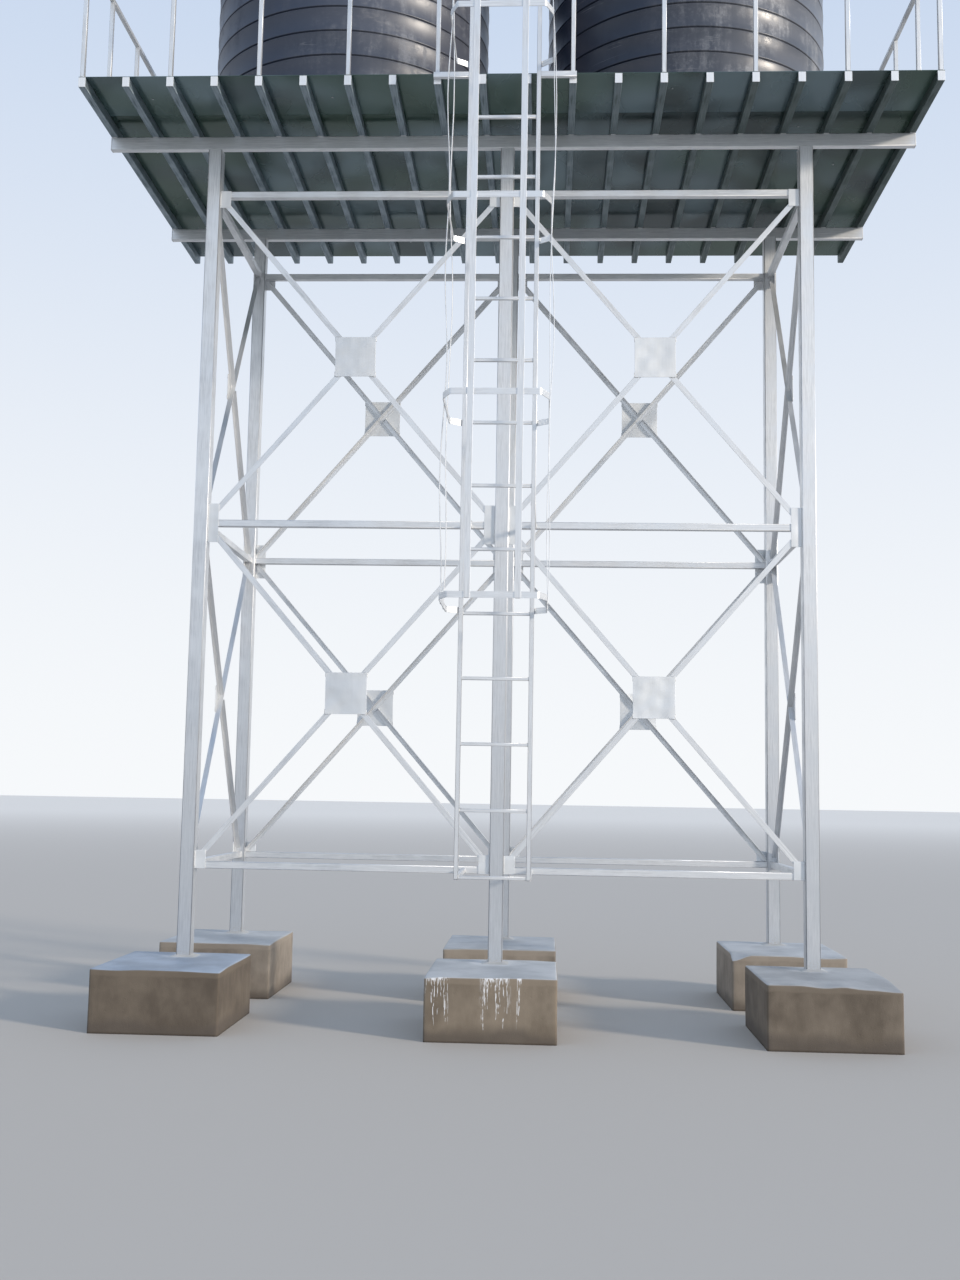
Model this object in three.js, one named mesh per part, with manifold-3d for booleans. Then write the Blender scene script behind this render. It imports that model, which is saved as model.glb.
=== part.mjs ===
// A steel water tower: six square columns on concrete pads, braced on every side,
// two long beams with twenty joists and a plate deck, a guard rail, a caged ladder
// and two round ribbed plastic tanks.
// Millimetres, +Z up. X runs along the long side, the ladder is on the -Y side.
// The origin is under the middle of the tower's box, at the underside of the pads.
import * as THREE from 'three';
import { mergeVertices } from 'three/addons/utils/BufferGeometryUtils.js';
import Module from 'manifold-3d';

const wasm = await Module();
wasm.setup();

// Plan of the frame
const BAY = 2200; // between column centres along the long side
const ROW_SPACING = 1650; // between the front and the back row of columns
const COLUMN = 100; // side of the square column tube
const COLUMN_HEIGHT = 5960; // from the pads to the underside of the beams

// Concrete pads, set forward of their columns
const PAD_HEIGHT = 420;
const PAD_WIDTH = 870;
const PAD_AHEAD = 770; // from the column's centre to the pad's front
const PAD_BEHIND = 230;

// Girts and diagonal braces between the columns
const GIRT = 50;
const GIRT_HEIGHTS = [640, 3110, 5615]; // centres, above the pads
const BRACE = 40; // leg of the angle bars
const BRACE_THICKNESS = 4;
const PLATE = 6; // thickness of every joining plate
const PLATE_BITE = 1; // depth that a plate or brace shares with the bar behind it
const CENTRE_PLATE = 300; // square plate where two long braces cross
const SIDE_CENTRE_PLATE = 200; // the same on the short sides
const CORNER_PLATE_WIDTH = 78;
const CORNER_PLATE_END = 130; // height at the lowest and the highest girt
const CORNER_PLATE_MID = 285; // height at the middle girt
const BRACE_CLEARANCE = 0.5; // from a cut brace end to the column

// Beams, joists and deck
const BEAM_DEPTH = 100;
const BEAM_WIDTH = 50;
const DECK_LENGTH = 6000;
const JOIST_COUNT = 20;
const JOIST_WIDTH = 50;
const JOIST_DEPTH = 70;
const OVERHANG = 800; // of the joists past the column centres, front and back
const DECK_THICKNESS = 4;

// Guard rail
const RAIL_TUBE = 30;
const RAIL_HEIGHT = 940; // top of the rail above the deck
const FRONT_POST_JOISTS = [0, 2, 4, 6, 8, 11, 13, 15, 17, 19]; // joist numbers from 0
const BACK_POST_JOISTS = [0, 2, 4, 6, 8, 11, 13, 15, 17, 19];
const SIDE_POST_SPOTS = [580, 1210, 2010, 2640]; // post centres from the front corner post
const GATE_JOISTS = [8, 11]; // the rail is open between these two posts

// Ladder
const LADDER_TUBE = 30;
const LADDER_WIDTH = 500; // over the outer faces of the stringers
const RUNG_TUBE = 22;
const RUNG_PITCH = 431;
const RUNG_COUNT = 13;
const RUNG_LOWEST = 640; // centre of the lowest rung, above the pads
const DECK_BAR = 40; // height of the short bars that hold the ladder to the joists
const BRACKET = 30; // square bars from the girts to the stringers

// Safety cage, flat bar
const CAGE_BAR = 40; // width of the flat bar
const CAGE_BAR_THICKNESS = 5;
const CAGE_REACH = 765; // from the deck's front edge to the front of the cage
const CAGE_HALF_WIDTH = 335; // to the outer face of a hoop's sides
const CAGE_FRONT_HALF_WIDTH = 285; // to the corners of a hoop's front
const CAGE_CHAMFER = 110; // depth of the slanted corners
const CAGE_TAB_DEPTH = 60; // how far forward a hoop's end runs before its side starts
const HOOP_PITCH = 1270;
const HOOP_LOWEST = 2380; // centre of the lowest hoop, above the pads
const HOOP_COUNT = 4; // spaced by the pitch, and one more level with the rail's top
const FRONT_STRAP_X = 155;
const SIDE_STRAP_SPOTS = [230, 470]; // from the deck's front edge

// Tanks
const TANK_RADIUS = 1100;
const TANK_CENTRES = { left: -1300, right: 1390 };
const TANK_WALL = 12;
const TANK_WALL_HEIGHT = 2400;
const RIB_PITCH = 190;
const RIB_FIRST = 66; // lowest groove above the deck
const RIB_COUNT = 13;
const GROOVE_DEPTH = 14;
const GROOVE_HALF_HEIGHT = 20;
const TANK_SEGMENTS = 32;
const ROOF_OUTLINE = [ // radius and height above the wall, up the outside
  [1096, 0], [1084, 50], [1020, 110], [900, 165], [700, 228], [480, 284], [300, 320],
];
const ROOF_THICKNESS = 12;
const NECK_RADIUS = 300;
const NECK_TOP = 390; // above the wall
const LID_GAP = 1.5; // between the neck and the lid's skirt
const LID_SKIRT = 45;
const LID_WALL = 24;
const LID_EDGE_HEIGHT = 18;
const LID_CROWN_HEIGHT = 42;

// Levels and lines that follow from the sizes above
const COLUMN_TOP = PAD_HEIGHT + COLUMN_HEIGHT;
const BEAM_TOP = COLUMN_TOP + BEAM_DEPTH;
const JOIST_TOP = BEAM_TOP + JOIST_DEPTH;
const DECK_TOP = JOIST_TOP + DECK_THICKNESS;
const RAIL_TOP = DECK_TOP + RAIL_HEIGHT;
const FRONT_REACH = OVERHANG + CAGE_REACH;
const BACK_REACH = ROW_SPACING + OVERHANG;
const FRONT_ROW = (FRONT_REACH - BACK_REACH) / 2;
const BACK_ROW = FRONT_ROW + ROW_SPACING;
const DECK_FRONT = FRONT_ROW - OVERHANG;
const DECK_BACK = BACK_ROW + OVERHANG;
const TANK_Y = (FRONT_ROW + BACK_ROW) / 2;
const JOIST_PITCH = (DECK_LENGTH - JOIST_WIDTH) / (JOIST_COUNT - 1);

const FINISHES = {
  steel: { color: 0xb9bec1, roughness: 0.45, metalness: 0.6 },
  plate: { color: 0x5c6668, roughness: 0.5, metalness: 0.6 },
  concrete: { color: 0x9a948a, roughness: 0.95, metalness: 0 },
  plastic: { color: 0x1a1c20, roughness: 0.4, metalness: 0 },
};

const tower = new THREE.Group();

/** Adds one named piece to the tower, optionally moved and turned about Z. */
function addPiece(name, geometry, finish, position = [0, 0, 0], turn = 0) {
  const mesh = new THREE.Mesh(geometry, new THREE.MeshStandardMaterial(FINISHES[finish]));
  mesh.name = name;
  mesh.position.set(...position);
  mesh.rotation.z = turn;
  tower.add(mesh);
}

/** A box given by its low and high limits along each axis. */
function block([x0, x1], [y0, y1], [z0, z1]) {
  const box = new THREE.BoxGeometry(x1 - x0, y1 - y0, z1 - z0);
  return box.translate((x0 + x1) / 2, (y0 + y1) / 2, (z0 + z1) / 2);
}

/** A closed geometry as a solid that can be joined and cut. */
function toSolid(geometry) {
  const bare = geometry.clone();
  bare.deleteAttribute('normal');
  bare.deleteAttribute('uv');
  const merged = mergeVertices(bare);
  return new wasm.Manifold(new wasm.Mesh({
    numProp: 3,
    vertProperties: new Float32Array(merged.attributes.position.array),
    triVerts: new Uint32Array(merged.index.array),
  }));
}

/** A solid as a geometry. */
function toGeometry(solid) {
  const { vertProperties, triVerts } = solid.getMesh();
  const geometry = new THREE.BufferGeometry();
  geometry.setAttribute('position', new THREE.BufferAttribute(vertProperties, 3));
  geometry.setIndex(new THREE.BufferAttribute(triVerts, 1));
  geometry.computeVertexNormals();
  return geometry;
}

/** Several overlapping geometries as one solid. */
function join(geometries) {
  return geometries.map(toSolid).reduce((whole, piece) => whole.add(piece));
}

/** A closed body of revolution about Z from [radius, height] points. */
function turned(outline, segments = TANK_SEGMENTS) {
  const points = outline.map(([radius, height]) => new THREE.Vector2(radius, height));
  return new THREE.LatheGeometry(points, segments).rotateX(Math.PI / 2);
}

/**
 * An angle bar in the XZ plane, from a left point to a right one. One leg is flat with
 * its outer face at y0, the other turns inwards along the upper edge.
 */
function diagonal([x0, z0], [x1, z1], y0) {
  const half = BRACE / 2;
  const section = [
    [half, 0], [half, BRACE_THICKNESS], [BRACE_THICKNESS - half, BRACE_THICKNESS],
    [BRACE_THICKNESS - half, BRACE], [-half, BRACE], [-half, 0],
  ].map(([down, inward]) => new THREE.Vector2(down, inward));
  const run = new THREE.Vector3(x1 - x0, 0, z1 - z0);
  const depth = run.length() + 2 * BRACE;
  const bar = new THREE.ExtrudeGeometry(new THREE.Shape(section), { depth, bevelEnabled: false });
  const along = run.normalize();
  const inward = new THREE.Vector3(0, 1, 0);
  const down = inward.clone().cross(along);
  bar.translate(0, 0, -depth / 2);
  bar.applyMatrix4(new THREE.Matrix4().makeBasis(down, inward, along));
  return bar.translate((x0 + x1) / 2, y0, (z0 + z1) / 2);
}

/**
 * One braced side between two columns: three girts, an X of braces in each of the
 * two tiers, a square plate on each crossing and plates in the corners.
 * It is centred on the bay, stands on Z = 0 at the pads and faces -Y.
 */
function bracedSide(bay, centrePlate) {
  const edge = (bay - COLUMN) / 2;
  const face = -GIRT / 2;
  const plateLimits = [face - PLATE, face + PLATE_BITE];
  const pieces = GIRT_HEIGHTS.map((height) =>
    block([-edge, edge], [face, -face], [height - GIRT / 2, height + GIRT / 2]));
  const [low, middle, high] = GIRT_HEIGHTS;
  for (const [bottom, top] of [[low, middle], [middle, high]]) {
    const foot = bottom + GIRT / 2;
    const head = top - GIRT / 2;
    const clear = toSolid(block([-edge + BRACE_CLEARANCE, edge - BRACE_CLEARANCE],
      [face, -face], [bottom, top]));
    const cross = join([
      diagonal([-edge, foot], [edge, head], face),
      diagonal([-edge, head], [edge, foot], face),
    ]);
    pieces.push(toGeometry(cross.intersect(clear)));
    const centre = (foot + head) / 2;
    pieces.push(block([-centrePlate / 2, centrePlate / 2], plateLimits,
      [centre - centrePlate / 2, centre + centrePlate / 2]));
  }
  const cornerLimits = [
    [low - GIRT / 2, low - GIRT / 2 + CORNER_PLATE_END],
    [middle - CORNER_PLATE_MID / 2, middle + CORNER_PLATE_MID / 2],
    [high + GIRT / 2 - CORNER_PLATE_END, high + GIRT / 2],
  ];
  for (const limits of cornerLimits) {
    pieces.push(block([-edge, -edge + CORNER_PLATE_WIDTH], plateLimits, limits));
    pieces.push(block([edge - CORNER_PLATE_WIDTH, edge], plateLimits, limits));
  }
  return toGeometry(join(pieces));
}

/** A flat bar bent along the plan points, thickened inwards, its height centred on level. */
function bentBar(points, inwards, level) {
  const outline = new THREE.Shape([...points, ...inwards.slice().reverse()]
    .map(([x, y]) => new THREE.Vector2(x, y)));
  const bar = new THREE.ExtrudeGeometry(outline, { depth: CAGE_BAR, bevelEnabled: false });
  return bar.translate(0, 0, level - CAGE_BAR / 2);
}

function addPads() {
  const pad = block([-PAD_WIDTH / 2, PAD_WIDTH / 2], [-PAD_AHEAD, PAD_BEHIND], [0, PAD_HEIGHT]);
  forEachColumn((place, x, y) => addPiece(`pad_${place}`, pad, 'concrete', [x, y, 0]));
}

function addColumns() {
  const half = COLUMN / 2;
  const column = block([-half, half], [-half, half], [0, COLUMN_HEIGHT]);
  forEachColumn((place, x, y) => addPiece(`column_${place}`, column, 'steel', [x, y, PAD_HEIGHT]));
}

/** Calls build(place, x, y) for each of the six columns. */
function forEachColumn(build) {
  for (const [row, y] of [['front', FRONT_ROW], ['back', BACK_ROW]]) {
    for (const [side, x] of [['left', -BAY], ['middle', 0], ['right', BAY]]) {
      build(`${row}_${side}`, x, y);
    }
  }
}

function addBracing() {
  const long = bracedSide(BAY, CENTRE_PLATE);
  for (const [side, x] of [['left', -BAY / 2], ['right', BAY / 2]]) {
    addPiece(`bracing_front_${side}`, long, 'steel', [x, FRONT_ROW, PAD_HEIGHT]);
    addPiece(`bracing_back_${side}`, long, 'steel', [x, BACK_ROW, PAD_HEIGHT], Math.PI);
  }
  const short = bracedSide(ROW_SPACING, SIDE_CENTRE_PLATE);
  addPiece('bracing_left_side', short, 'steel', [-BAY, TANK_Y, PAD_HEIGHT], -Math.PI / 2);
  addPiece('bracing_right_side', short, 'steel', [BAY, TANK_Y, PAD_HEIGHT], Math.PI / 2);
}

function addDeck() {
  const halfLength = DECK_LENGTH / 2;
  const outer = COLUMN / 2;
  const inner = outer - BEAM_WIDTH;
  addPiece('main_beam_front', block([-halfLength, halfLength],
    [FRONT_ROW - outer, FRONT_ROW - inner], [COLUMN_TOP, BEAM_TOP]), 'steel');
  addPiece('main_beam_back', block([-halfLength, halfLength],
    [BACK_ROW + inner, BACK_ROW + outer], [COLUMN_TOP, BEAM_TOP]), 'steel');
  const joist = block([-JOIST_WIDTH / 2, JOIST_WIDTH / 2], [DECK_FRONT, DECK_BACK],
    [BEAM_TOP, JOIST_TOP]);
  for (let number = 0; number < JOIST_COUNT; number += 1) {
    const label = String(number + 1).padStart(2, '0');
    addPiece(`joist_${label}`, joist, 'steel', [joistX(number), 0, 0]);
  }
  addPiece('deck_plate', block([-halfLength, halfLength], [DECK_FRONT, DECK_BACK],
    [JOIST_TOP, DECK_TOP]), 'plate');
}

/** Centre of a joist, counted from 0 at the left. */
function joistX(number) {
  return (JOIST_WIDTH - DECK_LENGTH) / 2 + number * JOIST_PITCH;
}

/** One closed rail: posts on the deck's edge and a top rail that is open at the ladder. */
function addGuardRail() {
  const half = RAIL_TUBE / 2;
  const sideX = (DECK_LENGTH - RAIL_TUBE) / 2;
  const frontY = DECK_FRONT + half;
  const backY = DECK_BACK - half;
  const post = (x, y) => block([x - half, x + half], [y - half, y + half], [DECK_TOP, RAIL_TOP]);
  const railHeight = [RAIL_TOP - RAIL_TUBE, RAIL_TOP];
  const alongX = (x0, x1, y) => block([x0 - half, x1 + half], [y - half, y + half], railHeight);
  const alongY = (x) => block([x - half, x + half], [frontY - half, backY + half], railHeight);
  const postX = (number) => THREE.MathUtils.clamp(joistX(number), -sideX, sideX);
  const [gateLeft, gateRight] = GATE_JOISTS.map(postX);
  const pieces = [
    alongX(-sideX, gateLeft, frontY), alongX(gateRight, sideX, frontY),
    alongX(-sideX, sideX, backY), alongY(-sideX), alongY(sideX),
    ...FRONT_POST_JOISTS.map((number) => post(postX(number), frontY)),
    ...BACK_POST_JOISTS.map((number) => post(postX(number), backY)),
  ];
  for (const spot of SIDE_POST_SPOTS) {
    pieces.push(post(-sideX, frontY + spot), post(sideX, frontY + spot));
  }
  addPiece('guard_rail', toGeometry(join(pieces)), 'steel');
}

function addLadder() {
  const outer = LADDER_WIDTH / 2;
  const depth = [DECK_FRONT - LADDER_TUBE, DECK_FRONT];
  const foot = PAD_HEIGHT + RUNG_LOWEST - RUNG_TUBE / 2;
  const rungMiddle = DECK_FRONT - LADDER_TUBE / 2;
  const rungDepth = [rungMiddle - RUNG_TUBE / 2, rungMiddle + RUNG_TUBE / 2];
  const girtFace = FRONT_ROW - GIRT / 2;
  const pieces = [];
  for (let number = 0; number < RUNG_COUNT; number += 1) {
    const height = PAD_HEIGHT + RUNG_LOWEST + number * RUNG_PITCH;
    pieces.push(block([-outer + PLATE_BITE, outer - PLATE_BITE], rungDepth,
      [height - RUNG_TUBE / 2, height + RUNG_TUBE / 2]));
  }
  for (const side of [-1, 1]) {
    const span = (from, to) => [side * from, side * to].sort((a, b) => a - b);
    pieces.push(block(span(outer - LADDER_TUBE, outer), depth, [foot, RAIL_TOP]));
    const gate = Math.abs(joistX(GATE_JOISTS[0])) + JOIST_WIDTH / 2;
    pieces.push(block(span(outer - PLATE_BITE, gate), depth, [DECK_TOP - DECK_BAR, DECK_TOP]));
    for (const girt of GIRT_HEIGHTS.slice(0, 2)) {
      const height = PAD_HEIGHT + girt;
      pieces.push(block(span(outer - BRACKET, outer), [DECK_FRONT - PLATE_BITE, girtFace],
        [height - BRACKET / 2, height + BRACKET / 2]));
    }
  }
  addPiece('ladder', toGeometry(join(pieces)), 'steel');
}

/** Plan of a hoop's outer face, from the left stringer round the front to the right one. */
function hoopPlan(inset) {
  const half = [
    [LADDER_WIDTH / 2, DECK_FRONT - LADDER_TUBE / 3 - inset],
    [CAGE_HALF_WIDTH - inset, DECK_FRONT - LADDER_TUBE / 3 - CAGE_TAB_DEPTH - inset / 2],
    [CAGE_HALF_WIDTH - inset, DECK_FRONT - CAGE_REACH + CAGE_BAR_THICKNESS + CAGE_CHAMFER],
    [CAGE_FRONT_HALF_WIDTH - inset / 2, DECK_FRONT - CAGE_REACH + CAGE_BAR_THICKNESS + inset],
  ];
  const mirrored = half.slice().reverse().map(([x, y]) => [-x, y]);
  return [...half, ...mirrored];
}

function addCage() {
  const levels = [];
  for (let number = 0; number < HOOP_COUNT; number += 1) {
    levels.push(PAD_HEIGHT + HOOP_LOWEST + number * HOOP_PITCH);
  }
  levels.push(RAIL_TOP - CAGE_BAR / 2);
  const pieces = levels.map((level) => bentBar(hoopPlan(0), hoopPlan(CAGE_BAR_THICKNESS), level));
  const strapHeight = [levels[0] - CAGE_BAR / 2, RAIL_TOP];
  const front = DECK_FRONT - CAGE_REACH;
  const side = CAGE_HALF_WIDTH;
  for (const sign of [-1, 1]) {
    const middle = sign * FRONT_STRAP_X;
    pieces.push(block([middle - CAGE_BAR / 2, middle + CAGE_BAR / 2],
      [front, front + CAGE_BAR_THICKNESS + PLATE_BITE], strapHeight));
    for (const spot of SIDE_STRAP_SPOTS) {
      const limits = [sign * (side - PLATE_BITE), sign * (side + CAGE_BAR_THICKNESS)];
      pieces.push(block(limits.sort((a, b) => a - b),
        [DECK_FRONT - spot - CAGE_BAR / 2, DECK_FRONT - spot + CAGE_BAR / 2], strapHeight));
    }
  }
  addPiece('ladder_cage', toGeometry(join(pieces)), 'steel');
}

/** Wall and floor of a tank, open at the top, with a groove between each pair of bands. */
function tankShell() {
  const grooveBottom = TANK_RADIUS - GROOVE_DEPTH;
  const outline = [[0, 0], [grooveBottom, 0], [TANK_RADIUS, GROOVE_HALF_HEIGHT]];
  for (let number = 0; number < RIB_COUNT; number += 1) {
    const height = RIB_FIRST + number * RIB_PITCH;
    outline.push([TANK_RADIUS, height - GROOVE_HALF_HEIGHT], [grooveBottom, height],
      [TANK_RADIUS, height + GROOVE_HALF_HEIGHT]);
  }
  const inner = grooveBottom - TANK_WALL;
  outline.push([TANK_RADIUS, TANK_WALL_HEIGHT], [inner, TANK_WALL_HEIGHT],
    [inner, TANK_WALL], [0, TANK_WALL]);
  return turned(outline);
}

/** Domed roof with a round neck, standing on the wall's rim. */
function tankRoof() {
  const outer = [...ROOF_OUTLINE, [NECK_RADIUS, NECK_TOP]];
  const inner = outer.map(([radius, height], index) => {
    const drop = index > 0 && index < ROOF_OUTLINE.length ? ROOF_THICKNESS : 0;
    return [radius - ROOF_THICKNESS, height - drop];
  }).reverse();
  return turned([...outer, ...inner, outer[0]]);
}

function tankLid() {
  const bore = NECK_RADIUS + LID_GAP;
  return turned([[0, NECK_TOP], [bore, NECK_TOP], [bore, NECK_TOP - LID_SKIRT],
    [bore + LID_WALL, NECK_TOP - LID_SKIRT], [bore + LID_WALL, NECK_TOP + LID_EDGE_HEIGHT],
    [bore * 0.8, NECK_TOP + LID_EDGE_HEIGHT + LID_WALL / 2], [0, NECK_TOP + LID_CROWN_HEIGHT]]);
}

function addTanks() {
  for (const [side, x] of Object.entries(TANK_CENTRES)) {
    addPiece(`tank_${side}_shell`, tankShell(), 'plastic', [x, TANK_Y, DECK_TOP]);
    const rim = [x, TANK_Y, DECK_TOP + TANK_WALL_HEIGHT];
    addPiece(`tank_${side}_roof`, tankRoof(), 'plastic', rim);
    addPiece(`tank_${side}_lid`, tankLid(), 'plastic', rim);
  }
}

addPads();
addColumns();
addBracing();
addDeck();
addGuardRail();
addLadder();
addCage();
addTanks();

export default tower;
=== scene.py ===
"""Finishes and fine detail of a steel water tower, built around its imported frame.

Metres, +Z up. X runs along the long side with the two tanks, and the ladder is on the -Y
side. Each piece takes its place from the box of the node that it stands for.
"""
import logging
import math
from collections.abc import Sequence
from dataclasses import dataclass
from enum import Enum

import bmesh
import bpy
from mathutils import Matrix, Vector, noise


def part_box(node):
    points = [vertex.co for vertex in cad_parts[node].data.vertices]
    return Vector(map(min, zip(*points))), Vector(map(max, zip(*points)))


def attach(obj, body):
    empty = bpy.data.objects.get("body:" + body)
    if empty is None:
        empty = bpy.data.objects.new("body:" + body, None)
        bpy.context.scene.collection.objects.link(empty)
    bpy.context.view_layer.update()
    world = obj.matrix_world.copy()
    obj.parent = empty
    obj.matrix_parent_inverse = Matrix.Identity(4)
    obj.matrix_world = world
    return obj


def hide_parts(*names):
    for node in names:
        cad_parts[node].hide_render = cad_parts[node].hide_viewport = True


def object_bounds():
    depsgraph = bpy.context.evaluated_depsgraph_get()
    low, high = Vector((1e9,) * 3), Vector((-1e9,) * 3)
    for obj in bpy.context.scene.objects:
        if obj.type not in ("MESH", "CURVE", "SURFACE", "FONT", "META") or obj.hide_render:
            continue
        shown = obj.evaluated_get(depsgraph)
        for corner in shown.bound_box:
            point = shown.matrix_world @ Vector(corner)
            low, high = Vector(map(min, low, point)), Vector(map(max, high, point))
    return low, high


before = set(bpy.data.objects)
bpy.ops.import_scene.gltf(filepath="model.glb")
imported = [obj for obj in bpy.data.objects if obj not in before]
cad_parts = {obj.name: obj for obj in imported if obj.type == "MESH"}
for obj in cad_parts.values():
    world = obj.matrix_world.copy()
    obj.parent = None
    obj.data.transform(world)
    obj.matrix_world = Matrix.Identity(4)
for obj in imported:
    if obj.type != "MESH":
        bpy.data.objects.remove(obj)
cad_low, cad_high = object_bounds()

log = logging.getLogger("water_tower")

Colour = tuple[float, float, float]
Socket = bpy.types.NodeSocket

GRAIN_MAP = "grain"
GRAIN_SHIFT = 0.37  # keeps the streaks of one bar unlike those of the next
SHARP_ANGLE = math.radians(46)
TINY = 1e-5
UP = Vector((0.0, 0.0, 1.0))
ROWS = ("front", "back")
SIDES = ("left", "middle", "right")


class Slot(Enum):
    """The record's material slots."""

    STEEL = "silver_steel"
    DECK = "deck_steel"
    CONCRETE = "concrete"
    PLASTIC = "tank_plastic"


class Grain(Enum):
    """The way that a bar and its brushed finish run."""

    X = Matrix.Rotation(math.pi / 2, 4, "Y")
    Y = Matrix.Rotation(-math.pi / 2, 4, "X")
    Z = Matrix.Identity(4)


class Wiring:
    """A node tree in the making, with one short call for each node."""

    def __init__(self, tree: bpy.types.NodeTree) -> None:
        """Starts on an empty tree."""
        self.tree = tree
        tree.nodes.clear()

    def add(self, kind: str, feeds: dict | None = None, **settings: object) -> bpy.types.Node:
        """Adds one node.

        Args:
            kind: The node's type name.
            feeds: What goes into its inputs, by name or number: a socket or a plain value.
            settings: The node's own properties.

        Returns:
            The new node.
        """
        made = self.tree.nodes.new(kind)
        for name, value in settings.items():
            setattr(made, name, value)
        for name, value in (feeds or {}).items():
            if isinstance(value, Socket):
                self.join(value, made.inputs[name])
            else:
                made.inputs[name].default_value = value
        return made

    def stretched(self, place: Socket, factors: Sequence[float] | Socket) -> Socket:
        """A place with each axis multiplied by its own factor."""
        feeds = {0: place, 1: factors}
        return self.add("ShaderNodeVectorMath", feeds, operation="MULTIPLY").outputs[0]

    def scaled(self, place: Socket, factor: Socket | float) -> Socket:
        """A place drawn larger or smaller in every direction alike."""
        feeds = {0: place, "Scale": factor}
        return self.add("ShaderNodeVectorMath", feeds, operation="SCALE").outputs[0]

    def shifted(self, place: Socket, way: Socket) -> Socket:
        """A place moved by a vector, or by one value on all three axes."""
        return self.add("ShaderNodeVectorMath", {0: place, 1: way}, operation="ADD").outputs[0]

    def length(self, place: Socket) -> Socket:
        """How far a place is from the zero point."""
        return self.add("ShaderNodeVectorMath", {0: place}, operation="LENGTH").outputs["Value"]

    def axes(self, place: Socket) -> bpy.types.NodeOutputs:
        """The X, Y and Z of a place or of a normal."""
        return self.add("ShaderNodeSeparateXYZ", {0: place}).outputs

    def noise(self, place: Socket, scale: float, detail: float = 3.0, roughness: float = 0.55) -> Socket:
        """Smooth noise from 0 to 1 at a place."""
        feeds = {"Vector": place, "Scale": scale, "Detail": detail, "Roughness": roughness}
        return self.add("ShaderNodeTexNoise", feeds).outputs[0]

    def spread(self, value: Socket, low: float, high: float, first: float = 0.0,
               last: float = 1.0) -> Socket:
        """A value's stretch from low to high, eased into first to last."""
        feeds = {"Value": value, "From Min": low, "From Max": high, "To Min": first, "To Max": last}
        return self.add("ShaderNodeMapRange", feeds, interpolation_type="SMOOTHSTEP").outputs[0]

    def reckon(self, operation: str, first: Socket | float, second: Socket | float = 0.0) -> Socket:
        """The plain result of an operation on one or two values."""
        return self.add("ShaderNodeMath", {0: first, 1: second}, operation=operation).outputs[0]

    def plus(self, first: Socket | float, second: Socket | float) -> Socket:
        """The sum of two values."""
        return self.reckon("ADD", first, second)

    def minus(self, first: Socket | float, second: Socket | float) -> Socket:
        """What is left of the first value."""
        return self.reckon("SUBTRACT", first, second)

    def times(self, first: Socket | float, second: Socket | float) -> Socket:
        """The product of two values."""
        return self.reckon("MULTIPLY", first, second)

    def larger(self, first: Socket | float, second: Socket | float) -> Socket:
        """The larger of two values."""
        return self.reckon("MAXIMUM", first, second)

    def blend(self, share: Socket | float, first: Colour | Socket, second: Colour | Socket) -> Socket:
        """A colour between two others.

        Args:
            share: How much of the second there is, from 0 to 1.
            first: The colour at 0.
            second: The colour at 1.

        Returns:
            The mixed colour.
        """
        feeds = {
            0: share,
            6: first if isinstance(first, Socket) else (*first, 1.0),
            7: second if isinstance(second, Socket) else (*second, 1.0),
        }
        return self.add("ShaderNodeMix", feeds, data_type="RGBA").outputs[2]

    def bump(self, height: Socket, distance: float, strength: float, under: Socket | None = None) -> Socket:
        """A normal that follows a height, over another normal if one is given.

        Args:
            height: The height, from 0 to 1.
            distance: How far 1 stands out, in metres.
            strength: The share of the relief that shows.
            under: The normal that it is laid over.

        Returns:
            The new normal.
        """
        feeds = {"Height": height, "Distance": distance, "Strength": strength}
        if under is not None:
            feeds["Normal"] = under
        return self.add("ShaderNodeBump", feeds).outputs[0]

    def effect(self, tree: bpy.types.NodeTree, feeds: dict) -> bpy.types.NodeOutputs:
        """What comes out of a shared effect with its own values."""
        return self.add("ShaderNodeGroup", feeds, node_tree=tree).outputs

    def join(self, value: Socket, target: Socket) -> None:
        """Links a value to where it goes."""
        self.tree.links.new(value, target)


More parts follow.
